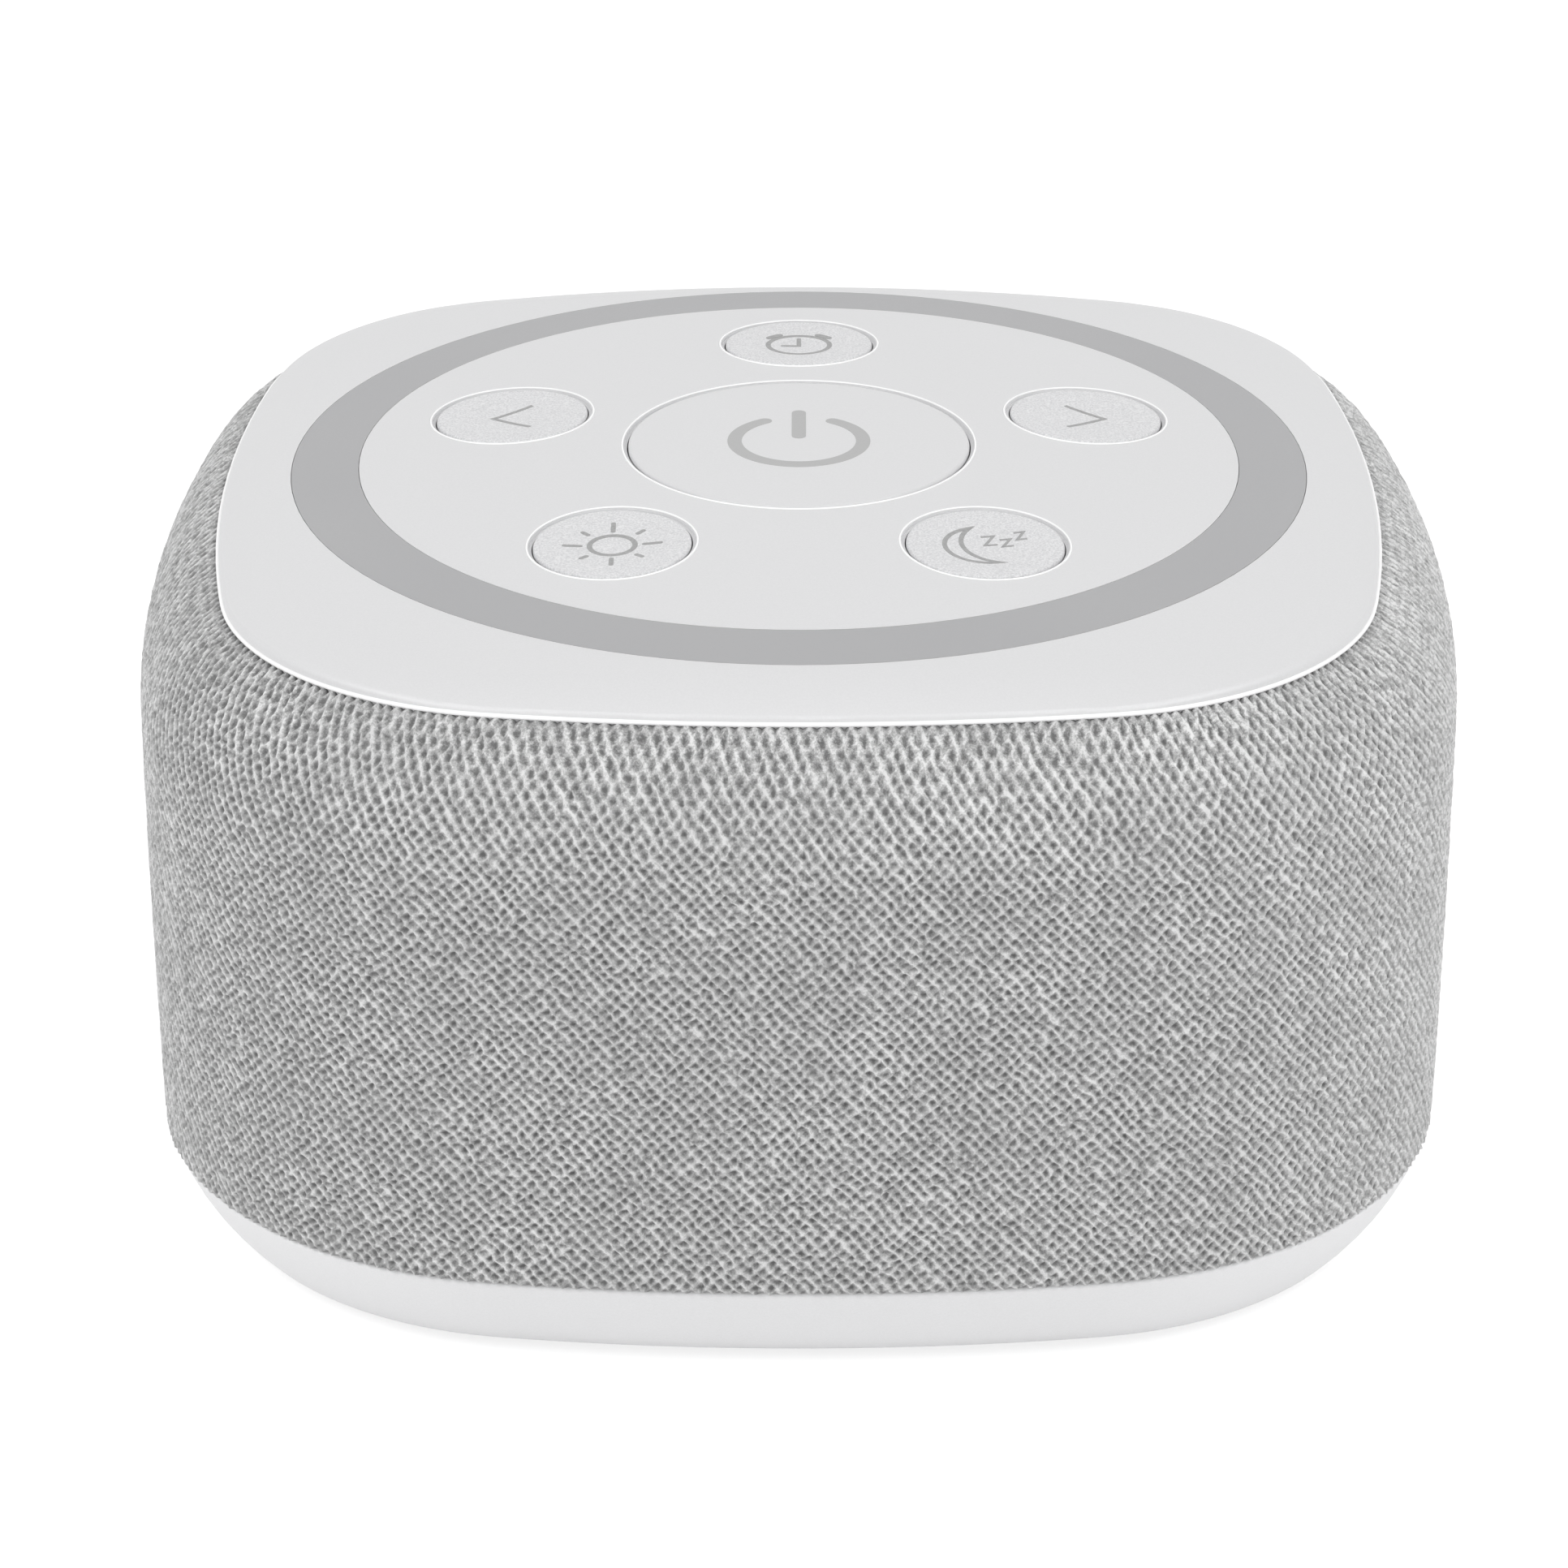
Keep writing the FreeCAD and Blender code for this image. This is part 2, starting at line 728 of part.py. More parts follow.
def ring_channel():
    """The white channel between board and light ring: two walls, a floor with windows and four screw ears."""
    top = flange_under + seat_gap
    low = board_top + seat_gap
    parts = [pipe(flange_outer, flange_outer - channel_wall, low, above),
             pipe(flange_inner + channel_wall, flange_inner, low, above),
             pipe(flange_outer, flange_inner, low, low + channel_floor)]
    parts = [under_crown(part, top) for part in parts]
    ear_length = ear_reach - flange_outer + channel_wall / 2
    for place in corner_places(ear_reach):
        turn = math.degrees(math.atan2(place.y, place.x))
        middle = place * ((ear_reach - ear_length / 2) / ear_reach)
        parts.append(cylinder(ear_radius, low, ear_top, place))
        parts.append(block((ear_length, 2 * ear_radius, ear_top - low), low, middle, turn))
    channel = join(parts)
    cutters = []
    for step in range(light_count):
        turn = 360 * (step + 0.5) / light_count
        window = (light_size[0] + 2 * body_gap, light_size[1] + 2 * body_gap, 2 * channel_floor)
        cutters.append(block(window, low - channel_floor / 2, polar(light_radius, turn), turn + 90))
    for place in corner_places(ear_reach):
        cutters.append(cylinder(screw_shank + fit_gap, low, ear_top, place))
    return channel.cut(cutters)


def board_screws():
    length = board_thickness + (crown_z(boss_reach) - top_skin - board_top) * 0.8
    return group([screw(place, board_bottom, length, 1) for place in boss_places()])


def channel_screws():
    length = ear_top - board_top + (crown_z(ear_reach) - top_skin - ear_top)
    return group([screw(place, board_top, length, 1) for place in corner_places(ear_reach)])


def rim_screws():
    length = flange_thickness + screw_shank
    return group([screw(place, flange_low, length, 1) for place in corner_places(rim_screw_reach)])


# Speaker driver, on the baffle

coil_outer = coil_radius + coil_thickness
gap_outer = coil_outer + 1.5 * body_gap
cone_rim_z = basket_z + cone_travel
cone_neck_z = cone_rim_z + (cone_radius - coil_outer) / 3
driver_screw_reach = basket_radius + screw_shank + fit_gap
terminal_z = (basket_z + neck_z) / 2
lead_reach = basket_radius + 2 * screw_head
ribbon_reach = lead_reach + plug_spacing


def wall_radius(z):
    """Inner radius of the basket's tapered wall at height z."""
    share = (z - basket_z) / basket_depth
    return basket_mouth + (basket_neck - basket_mouth) * share


def speaker_basket():
    """Pressed steel frame: flange with four ears, tapered wall with four windows, and a neck plate."""
    sheet = basket_sheet
    wall = turned_points([(basket_mouth, basket_z), (basket_mouth + sheet, basket_z),
                          (basket_neck + sheet, neck_z), (basket_neck, neck_z)])
    parts = [wall, pipe(basket_radius, basket_mouth, basket_z, basket_z + sheet),
             pipe(basket_neck + sheet, gap_outer, neck_z - sheet, neck_z)]
    for place in corner_places(driver_screw_reach):
        parts.append(cylinder(1.3 * screw_head, basket_z, basket_z + sheet, place))
    frame = join(parts)
    frame = frame.cut(cylinder(basket_mouth, basket_z, basket_z + sheet))
    cutters = [cylinder(screw_shank + fit_gap, basket_z, basket_z + sheet, place)
               for place in corner_places(driver_screw_reach)]
    for place in corner_places(wall_radius(terminal_z)):
        turn = math.degrees(math.atan2(place.y, place.x))
        window = (basket_mouth, basket_neck, basket_depth - 3 * sheet)
        cutters.append(block(window, basket_z + 1.5 * sheet, place, turn))
    return frame.cut(cutters)


def speaker_gasket():
    return pipe(basket_radius, basket_mouth, baffle_top, basket_z)


def front_plate():
    return pipe(front_plate_radius, gap_outer, neck_z, neck_z + front_plate_thickness)


def magnet():
    low = neck_z + front_plate_thickness
    ring = pipe(magnet_radius, magnet_bore, low, low + magnet_thickness)
    corners = [edge for edge in ring.Edges if edge.Length > 6 * magnet_radius and edge.BoundBox.ZLength < 0.01]
    return ring.makeChamfer(body_gap, corners)


def yoke():
    """Back plate and pole in one piece."""
    plate = cylinder(front_plate_radius, driver_top - back_plate_thickness, driver_top)
    pole = cylinder(pole_radius, neck_z - basket_sheet, driver_top)
    return join([plate, pole])


def voice_coil():
    return pipe(coil_outer, coil_radius, cone_neck_z - coil_thickness, neck_z + front_plate_thickness)


def speaker_cone():
    """Paper cone from the coil to the surround."""
    start = coil_outer + seat_gap
    return turned_points([(start, cone_neck_z - cone_thickness), (cone_radius, cone_rim_z - cone_thickness),
                          (cone_radius, cone_rim_z), (start, cone_neck_z)])


def cap_points(edge, z, drop):
    """Points of a shallow dome that hangs by drop under height z, from the axis out to its edge."""
    shares = [step / cap_steps for step in range(cap_steps + 1)]
    return [(edge * share, z - drop * (1 - share ** 2)) for share in shares]


def dust_cap():
    """Shallow dome over the coil, on the cone's front."""
    edge = coil_outer + 2 * coil_thickness
    low = cone_neck_z - 3 * cone_thickness
    drop = edge / 4
    outer = cap_points(edge, low, drop)
    inner = cap_points(edge - cone_thickness, low, drop - cone_thickness)
    return turned_points(outer + inner[::-1])


def roll_points(inner, outer, z, sag):
    """Points of a rounded roll that hangs by sag under height z."""
    middle = (inner + outer) / 2
    points = []
    for step in range(roll_steps + 1):
        angle = math.pi * step / roll_steps
        points.append((middle - (outer - inner) / 2 * math.cos(angle), z - sag * math.sin(angle)))
    return points


def speaker_surround():
    inner = cone_radius + 2 * seat_gap
    outer = basket_mouth - 2 * seat_gap
    sag = (outer - inner) / 2
    outside = roll_points(inner, outer, cone_rim_z, sag)
    inside = roll_points(inner + cone_thickness, outer - cone_thickness, cone_rim_z, sag - cone_thickness)
    return turned_points(outside + inside[::-1])


def spider():
    """Corrugated ring between the coil and the basket."""
    inner = coil_outer + 2 * seat_gap
    z = neck_z - 3 * basket_sheet
    outer = wall_radius(z + spider_rise) - 2 * seat_gap
    step = (outer - inner) / spider_waves
    points = []
    for wave in range(spider_waves + 1):
        points.append((inner + wave * step, z + spider_rise * (wave % 2)))
    under = [(radius, height - cone_thickness) for radius, height in reversed(points)]
    return turned_points(points + under)


def terminals():
    """Insulating strip with the two solder lugs, on the back of the basket's wall."""
    strip = block(terminal_size, terminal_z, Vector(0, terminal_end() - terminal_size[1] / 2, 0))
    lug_place = terminal_end() - lug_size[1] / 2
    lugs = [block(lug_size, terminal_z + terminal_size[2], Vector(x, lug_place, 0))
            for x in (-lead_spacing / 2, lead_spacing / 2)]
    return join([strip] + lugs)


def terminal_end():
    """Distance from the axis to the free end of the terminal strip."""
    return wall_radius(terminal_z) + basket_sheet + terminal_size[1]


def speaker_screws():
    seat = basket_z + basket_sheet
    length = seat - baffle_bottom - seat_gap
    return group([screw(place, seat, length, -1) for place in corner_places(driver_screw_reach)])


def cable_slots(low, high):
    """Slots for the ribbon and the speaker leads through a plate."""
    return [block((ribbon_width + 4 * body_gap, 3 * ribbon_thickness, high - low), low, Vector(0, ribbon_reach, 0)),
            block((lead_spacing + 4 * lead_radius, 4 * lead_radius, high - low), low, Vector(0, lead_reach, 0))]


def baffle():
    """The plate that carries the driver on the cabinet's four posts."""
    plate = slab(cabinet_inner + fit_gap, baffle_bottom, baffle_top)
    cutters = [cylinder(basket_mouth - cone_thickness, baffle_bottom, baffle_top)]
    cutters += [cylinder(screw_shank + fit_gap, baffle_bottom, baffle_top, place)
                for place in corner_places(post_reach)]
    cutters += [cylinder(screw_shank + seat_gap, baffle_bottom, baffle_top, place)
                for place in corner_places(driver_screw_reach)]
    return plate.cut(cutters + cable_slots(baffle_bottom, baffle_top))


def baffle_screws():
    length = baffle_thickness + (baffle_bottom - rib_top) / 2 - 2 * body_gap
    return group([screw(place, baffle_top, length, -1) for place in corner_places(post_reach)])


def deflector_cone(radius, tip, height, low):
    """A cone with hollow flanks and a flat tip, standing on height low. The hollow goes with the height."""
    flank = bowed_points((radius, low), (tip, low + height), -deflector_hollow * height, flank_steps)
    return turned_points(flank + [(0, low + height), (0, low)])


def sound_deflector():
    """Plate on the base's rib whose cone turns the sound outwards through the cabinet's slots."""
    low = rib_top + seat_gap
    plate = slab(cabinet_inner + fit_gap, low, deflector_top)
    plate = plate.fuse(deflector_cone(deflector_radius, deflector_tip, deflector_height + deflector_thickness, low))
    inner_radius = deflector_radius - 1.5 * deflector_thickness
    cutters = [deflector_cone(inner_radius, deflector_tip / 2, deflector_height, low)]
    cutters += [cylinder(post_radius + fit_gap, low, deflector_top, place) for place in corner_places(post_reach)]
    return plate.cut(cutters + cable_slots(low, deflector_top))


# Main board, power socket and wiring

def socket_mouth():
    return half_width - base_face_inset(socket_z) - socket_recess


def main_board():
    place = main_board_place()
    board = block(main_board_size, main_board_low, place)
    notch_start = socket_mouth() - socket_size[1] - body_gap
    notch_end = half_width
    middle = Vector(0, (notch_start + notch_end) / 2, 0)
    cutters = [block((socket_size[0] + body_gap, notch_end - notch_start, main_board_size[2]), main_board_low, middle)]
    cutters += [cylinder(screw_shank + fit_gap, main_board_low, main_board_top, spot) for spot in standoff_places()]
    return board.cut(cutters)


def main_board_screws():
    length = main_board_size[2] + main_board_lift + base_floor / 2 - seat_gap
    return group([screw(place, main_board_top, length, -1) for place in standoff_places()])


def usb_socket_shell():
    """Drawn steel shell with a closed back and two legs on the board."""
    start = socket_mouth() - socket_size[1]
    shell = capsule(socket_size[0], socket_size[2], start, socket_size[1], socket_z)
    bore = capsule(socket_size[0] - 2 * socket_sheet, socket_size[2] - 2 * socket_sheet,
                   start + 2 * socket_sheet, socket_size[1], socket_z)
    return shell.cut(bore)


def usb_socket_tongue():
    """The contact tongue that stands out from the back of the socket."""
    start = socket_mouth() - socket_size[1] + 2 * socket_sheet
    middle = Vector(0, start + tongue_size[1] / 2, 0)
    return block(tongue_size, socket_z - tongue_size[2] / 2, middle)


def connectors():
    """Sockets for the ribbon on both boards, and for the speaker leads on the main board."""
    wide = (ribbon_width + 2 * plug_end, plug_depth, plug_height)
    narrow = (lead_spacing + 4 * plug_end, plug_depth, plug_height)
    return group([block(wide, main_board_top, Vector(0, ribbon_reach, 0)),
                  block(wide, board_bottom - plug_height, Vector(0, ribbon_reach, 0)),
                  block(narrow, main_board_top, Vector(0, lead_reach, 0))])


def board_ribbon():
    """Flat cable between the two boards, with a slight bow."""
    low = main_board_top + plug_height
    high = board_bottom - plug_height
    middle = Vector(0, ribbon_reach + ribbon_bow, (low + high) / 2)
    edge = Part.Arc(Vector(0, ribbon_reach, low), middle, Vector(0, ribbon_reach, high)).toShape()
    strip = edge.extrude(Vector(ribbon_width, 0, 0)).extrude(Vector(0, ribbon_thickness, 0))
    strip.translate(Vector(-ribbon_width / 2, -ribbon_thickness / 2, 0))
    return strip


def speaker_lead(x):
    """One lead: out from its lug, round one bend and down to the main board."""
    start = Vector(x, terminal_end() + seat_gap, terminal_z + terminal_size[2])
    corner = Vector(x, lead_reach, start.z)
    end = Vector(x, lead_reach, main_board_top + plug_height)
    bend = min(lead_bend, (corner.y - start.y) * 0.9)
    before = corner - Vector(0, bend, 0)
    after = corner - Vector(0, 0, bend)
    middle = corner + Vector(0, -bend, -bend) + Vector(0, bend, bend) * math.sqrt(0.5)
    path = Part.Wire([Part.LineSegment(start, before).toShape(), Part.Arc(before, middle, after).toShape(),
                      Part.LineSegment(after, end).toShape()])
    section = Part.Face(Part.Wire(Part.Circle(start, Vector(0, 1, 0), lead_radius).toShape()))
    return path.makePipe(section)


def speaker_leads():
    return group([speaker_lead(x) for x in (-lead_spacing / 2, lead_spacing / 2)])


def board_chips():
    """The amplifier and the processor on the main board, and the key controller under the control board."""
    centre = main_board_place()
    across = main_board_size[0] / 5
    back = Vector(0, -main_board_size[1] / 8, 0)
    chips = [block(amplifier_size, main_board_top, centre + back + Vector(-across, 0, 0)),
             block(processor_size, main_board_top, centre + back + Vector(across, 0, 0)),
             block(key_chip_size, board_bottom - key_chip_size[2], Vector(0, -key_pitch / 2, 0))]
    return group(chips)


def capacitors():
    """Two electrolytic capacitors on square feet."""
    cans = []
    side = 2 * (capacitor_radius + seat_gap)
    top = main_board_top + capacitor_height
    for x in (-main_board_size[0] / 3, main_board_size[0] / 3):
        place = main_board_place() + Vector(x, main_board_size[1] / 7, 0)
        foot = block((side, side, capacitor_foot), main_board_top, place)
        cans.append(join([foot, cylinder(capacitor_radius, main_board_top, top, place)]))
    return group(cans)


nodes = {
    "top_bezel": top_bezel, "light_ring": light_ring, "button_panel": button_panel,
    "control_board": control_board, "switch_bodies": switch_bodies, "ring_lights": ring_lights,
    "ring_channel": ring_channel, "board_screws": board_screws, "channel_screws": channel_screws,
    "rim_screws": rim_screws, "cabinet": cabinet, "fabric_sleeve": fabric_sleeve, "base": base,
    "rubber_feet": feet, "base_screws": base_screws, "baffle": baffle, "baffle_screws": baffle_screws,
    "speaker_basket": speaker_basket, "speaker_gasket": speaker_gasket, "speaker_surround": speaker_surround,
    "speaker_spider": spider, "speaker_cone": speaker_cone, "dust_cap": dust_cap, "voice_coil": voice_coil,
    "speaker_magnet": magnet, "front_plate": front_plate, "magnet_yoke": yoke, "speaker_terminals": terminals,
    "speaker_screws": speaker_screws, "sound_deflector": sound_deflector, "main_board": main_board,
    "main_board_screws": main_board_screws, "usb_socket_shell": usb_socket_shell,
    "usb_socket_tongue": usb_socket_tongue, "connectors": connectors, "board_ribbon": board_ribbon,
    "speaker_leads": speaker_leads, "board_chips": board_chips, "capacitors": capacitors,
}


def main():
    os.makedirs("parts", exist_ok=True)
    solids = {name: make() for name, make in nodes.items()}
    for name, radius, place in keys():
        solids[name + "_button"] = key(radius, place, name != "power")
        solids[name + "_switch_stem"] = stem(place)
    for name, shape in solids.items():
        shape.exportStep("parts/" + name + ".step")
        print(name, len(shape.Solids), "solids,", round(shape.Volume), "mm3, valid", shape.isValid())


if __name__ == "__main__":
    main()
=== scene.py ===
# %% [markdown]
# # A bedside sound machine in a knitted sleeve
# The real object is a small loudspeaker: a moulded top with a light ring and six keys, a cabinet in a knitted
# sleeve, and a tapered base.
# Every rigid piece comes from the frame, already at its size and place, and gets only its finish here.
# Three things are made here, because thousands of loops, hair-fine trims and thin ink are surface work: the knit,
# the beads and lips, and the symbols. The white beads are painted highlight lines, and the knit's dark hollows
# are partly painted shade.

# %% Load the frame
import json
import math

import bpy
import numpy as np
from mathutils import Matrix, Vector
from mathutils.bvhtree import BVHTree


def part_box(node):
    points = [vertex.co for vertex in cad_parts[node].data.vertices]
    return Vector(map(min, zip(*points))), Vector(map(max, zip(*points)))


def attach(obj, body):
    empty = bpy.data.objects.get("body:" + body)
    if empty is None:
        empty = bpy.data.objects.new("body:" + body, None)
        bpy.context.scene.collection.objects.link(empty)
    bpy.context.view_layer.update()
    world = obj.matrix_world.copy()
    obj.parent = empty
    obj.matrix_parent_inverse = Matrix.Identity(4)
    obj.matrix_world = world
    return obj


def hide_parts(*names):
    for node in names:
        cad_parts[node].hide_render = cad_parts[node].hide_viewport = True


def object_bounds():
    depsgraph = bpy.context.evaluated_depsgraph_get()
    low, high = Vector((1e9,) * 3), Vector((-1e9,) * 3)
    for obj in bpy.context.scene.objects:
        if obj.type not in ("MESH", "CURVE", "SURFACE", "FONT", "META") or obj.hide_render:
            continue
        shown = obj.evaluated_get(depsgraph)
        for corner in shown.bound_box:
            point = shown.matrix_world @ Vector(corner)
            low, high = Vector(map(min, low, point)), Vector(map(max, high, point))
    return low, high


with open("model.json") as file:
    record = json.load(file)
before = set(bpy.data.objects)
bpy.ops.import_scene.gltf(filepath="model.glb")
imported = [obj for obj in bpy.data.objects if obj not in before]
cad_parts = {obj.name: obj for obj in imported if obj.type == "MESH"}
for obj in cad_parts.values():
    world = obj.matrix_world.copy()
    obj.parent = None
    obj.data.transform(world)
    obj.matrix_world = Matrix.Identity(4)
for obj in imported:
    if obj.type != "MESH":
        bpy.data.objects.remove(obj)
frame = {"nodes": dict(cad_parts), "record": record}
nodes = frame["nodes"]
cad_low, cad_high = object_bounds()
MM = 0.001
half_width = cad_high.x / MM
overall_height = cad_high.z / MM
print(f"frame: {len(nodes)} nodes, half width {half_width:.1f} mm, height {overall_height:.1f} mm")

# %% [markdown]
# ## The camera
# The photograph looks down at the front by about 25 degrees, through a long lens from half a metre.
# The camera is placed by its distance and elevation round a target, so that each of these stays one plain number.

# %% Camera
camera_elevation = math.radians(24.52)
camera_distance = 495.7
camera_target = 27.08
camera_lens = 137.3
photo_size = 1932
object_axis_pixel = 984.3

camera = bpy.data.objects.new("camera", bpy.data.cameras.new("camera"))
bpy.context.scene.collection.objects.link(camera)
camera.location = Vector((
    0,
    -camera_distance * math.cos(camera_elevation),
    camera_target + camera_distance * math.sin(camera_elevation),
)) * MM
camera.rotation_euler = (math.pi / 2 - camera_elevation, 0, 0)
camera.data.lens = camera_lens
camera.data.shift_x = (photo_size / 2 - object_axis_pixel) / photo_size
bpy.context.scene.camera = camera
bpy.context.scene.view_settings.view_transform = "Standard"
print(f"camera: {camera.location.z / MM:.0f} mm high, {-camera.location.y / MM:.0f} mm in front")

# %% [markdown]
# ## Nodes and colours
# A finish is a small tree of shader nodes. One function adds a node with its settings and its links,
# and another turns the hex colour that a designer writes into the linear one that light is reckoned in.

# %% Node and colour helpers
def linear(hex_colour):
    """The linear red, green, blue and alpha of an sRGB hex colour."""
    channels = [int(hex_colour[at:at + 2], 16) / 255 for at in (1, 3, 5)]
    return [c / 12.92 if c <= 0.04045 else ((c + 0.055) / 1.055) ** 2.4 for c in channels] + [1.0]


def socket(sockets, name):
    """A socket by its identifier, which tells apart sockets that share a name, or by its name or number."""
    known = [each for each in sockets if each.identifier == name]
    return known[0] if known else sockets[name]


def add(tree, kind, inputs=None, **settings):
    """Adds a shader node. Each input is a value to set or another node's output to link."""
    node = tree.nodes.new("ShaderNode" + kind)
    for name, value in settings.items():
        setattr(node, name, value)
    for name, value in (inputs or {}).items():
        if isinstance(value, bpy.types.NodeSocket):
            tree.links.new(value, socket(node.inputs, name))
        else:
            socket(node.inputs, name).default_value = value
    return node


def out(node, name=0):
    """The output of a node to link from."""
    return socket(node.outputs, name)


def per_mm(size):
    """The scale of a pattern in object space whose features are size millimetres wide."""
    return 1 / (size * MM)


print(f"a mid grey of #808080 is {linear('#808080')[0]:.3f} in linear light")

# %% [markdown]
# ## Studio
# The object stands in a white light tent: even light from all round, a little more from the sides than from
# straight above, and a soft lamp high on each side. White plastic needs this, because a small hard lamp would burn
# its rolled rim out. A wide card high in front is seen only in reflections: it draws the highlight along the rim.
# The camera, and reflections, see plain white. The floor is lit as well, so that it keeps the contact shadow.

# %% World
tent_zenith = 0.65
tent_horizon = 0.87


def seen_as_white(tree):
    """One where the camera, a reflection or a ray through glass looks, and zero where a surface gathers light."""
    rays = add(tree, "LightPath")
    either = add(tree, "Math", {0: out(rays, "Is Camera Ray"), 1: out(rays, "Is Glossy Ray")}, operation="MAXIMUM")
    return out(add(tree, "Math", {0: out(either), 1: out(rays, "Is Transmission Ray")}, operation="MAXIMUM"))


world = bpy.data.worlds.new("light_tent")
bpy.context.scene.world = world
world.use_nodes = True
tree = world.node_tree
tree.nodes.clear()
axes = add(tree, "SeparateXYZ", {0: out(add(tree, "TexCoord"), "Generated")})
height = add(tree, "MapRange", {"Value": out(axes, "Z"), "To Min": tent_horizon, "To Max": tent_zenith})
strength = add(tree, "Mix", {"Factor_Float": seen_as_white(tree), "A_Float": out(height), "B_Float": 1.0})
background = add(tree, "Background", {"Color": linear("#FFFFFF"), "Strength": out(strength, "Result_Float")})
add(tree, "OutputWorld", {"Surface": out(background)})
print(f"light tent: {tent_horizon} at the horizon, {tent_zenith} overhead")

# %% Lamps
lamp_distance = 900


def soft_lamp(name, size, elevation, turn, power):
    """A rectangular lamp of (width, height) mm that faces the object, turned from the front towards +X."""
    lamp = bpy.data.objects.new(name, bpy.data.lights.new(name, "AREA"))
    bpy.context.scene.collection.objects.link(lamp)
    lamp.data.shape = "RECTANGLE"
    lamp.data.size, lamp.data.size_y = size[0] * MM, size[1] * MM
    lamp.data.energy = power
    up, way = math.radians(elevation), math.radians(turn)
    towards = Vector((math.cos(up) * math.sin(way), -math.cos(up) * math.cos(way), math.sin(up)))
    lamp.location = towards * lamp_distance * MM
    lamp.rotation_euler = (math.pi / 2 - up, 0, way)
    print(f"{name}: {power} W over {size[0]} by {size[1]} mm")
    return lamp


soft_lamp("left_lamp", (400, 300), elevation=45, turn=-60, power=1.8)
soft_lamp("right_lamp", (400, 300), elevation=45, turn=62, power=1.8)
rim_card = soft_lamp("rim_card", (1200, 300), elevation=60, turn=0, power=3.0)
rim_card.visible_diffuse = False

# %% Floor
floor_half = 3000
floor_glow = 0.7
floor_backlight = 0.1
floor_mesh = bpy.data.meshes.new("floor")
floor_corners = [(x * floor_half * MM, y * floor_half * MM, 0) for x, y in ((-1, -1), (1, -1), (1, 1), (-1, 1))]
floor_mesh.from_pydata(floor_corners, [], [(0, 1, 2, 3)])
floor = bpy.data.objects.new("floor", floor_mesh)
bpy.context.scene.collection.objects.link(floor)
paper = bpy.data.materials.new("white_paper_floor")
paper.use_nodes = True
tree = paper.node_tree
tree.nodes.clear()
lit = add(tree, "AddShader", {
    0: out(add(tree, "BsdfDiffuse", {"Color": linear("#E8E8E8")})),
    1: out(add(tree, "Emission", {"Color": linear("#FFFFFF"), "Strength": floor_backlight})),
})
dimmed = add(tree, "BsdfDiffuse", {"Color": linear("#B4B4B4")})
glow = add(tree, "Emission", {"Color": linear("#FFFFFF"), "Strength": floor_glow})
shown = add(tree, "AddShader", {0: out(dimmed), 1: out(glow)})
mixed = add(tree, "MixShader", {0: seen_as_white(tree), 1: out(lit), 2: out(shown)})
add(tree, "OutputMaterial", {"Surface": out(mixed)})
floor_mesh.materials.append(paper)
print(f"floor: {2 * floor_half / 1000:.0f} m square")

# %% [markdown]
# ## Finishes
# Each finish starts from the real material and the way its surface was made. A mould leaves its own grain on
# plastic, so a moulded part is never one flat colour: it has a fine relief and a very slight cloud in its gloss.
# One function opens a material and its coordinates, one blends two colours, and one closes the material.
# A noise seldom leaves the range from 0.35 to 0.65, so that range is where its speckles and clouds are drawn.

# %% Helpers that start and end a finish
finishes = {}
noise_low, noise_high = 0.35, 0.65


def start(name):
    """An empty material, its tree, and the coordinates that its patterns follow."""
    made = bpy.data.materials.new(name)
    made.use_nodes = True
    made.node_tree.nodes.clear()
    return made, made.node_tree, out(add(made.node_tree, "TexCoord"), "Object")


def blend(tree, factor, first, second):
    """A colour that goes from the first hex colour to the second as the factor goes from 0 to 1."""
    mix = add(tree, "Mix", {"Factor_Float": factor, "A_Color": linear(first), "B_Color": linear(second)},
              data_type="RGBA")
    return out(mix, "Result_Color")


def end(made, slot, colour, roughness, height, relief, more):
    """Closes a finish, with bumps of relief mm, and keeps it under its slot name."""
    tree = made.node_tree
    bumps = add(tree, "Bump", {"Height": height, "Distance": relief * MM})
    shader = add(tree, "BsdfPrincipled", {"Base Color": colour, "Roughness": roughness, "Normal": out(bumps), **more})
    add(tree, "OutputMaterial", {"Surface": out(shader)})
    finishes[slot] = made
    print(f"finish {made.name}: {len(tree.nodes)} nodes")


# %% [markdown]
# ### Moulded plastics and rubber
# ABS is the tough plastic of most small appliances, with an IOR of about 1.54. The tool was spark-eroded, which
# leaves an even grain: satin on the top, coarser and almost sandy on the small keys. The same making gives the
# black inner mouldings, the white nylon of the connectors, the silicone feet and the epoxy of the chips.
# The real grain is about 0.05 mm, too fine to show here, so it is drawn at 0.15 mm and more.

# %% Moulded finishes
cloud_size = 18
gloss_change = 0.04


def moulded(name, slot, colour, darker, roughness, ior=1.54, grain=0.16, relief=0.003, speckle=0.3):
    """A spark-eroded moulding. Grain and relief are in mm, and speckle is how far the darker colour shows."""
    made, tree, where = start(name)
    cloud = add(tree, "TexNoise", {"Vector": where, "Scale": per_mm(cloud_size), "Detail": 2.0})
    sand = add(tree, "TexNoise", {"Vector": where, "Scale": per_mm(grain), "Detail": 3.0, "Roughness": 0.6})
    specks = add(tree, "MapRange", {"Value": out(sand), "From Min": noise_low, "From Max": noise_high,
                                    "To Min": speckle, "To Max": 0.0})
    gloss = add(tree, "MapRange", {"Value": out(cloud), "To Min": roughness - gloss_change,
                                   "To Max": roughness + gloss_change})
    end(made, slot, blend(tree, out(specks), colour, darker), out(gloss), out(sand), relief, {"IOR": ior})


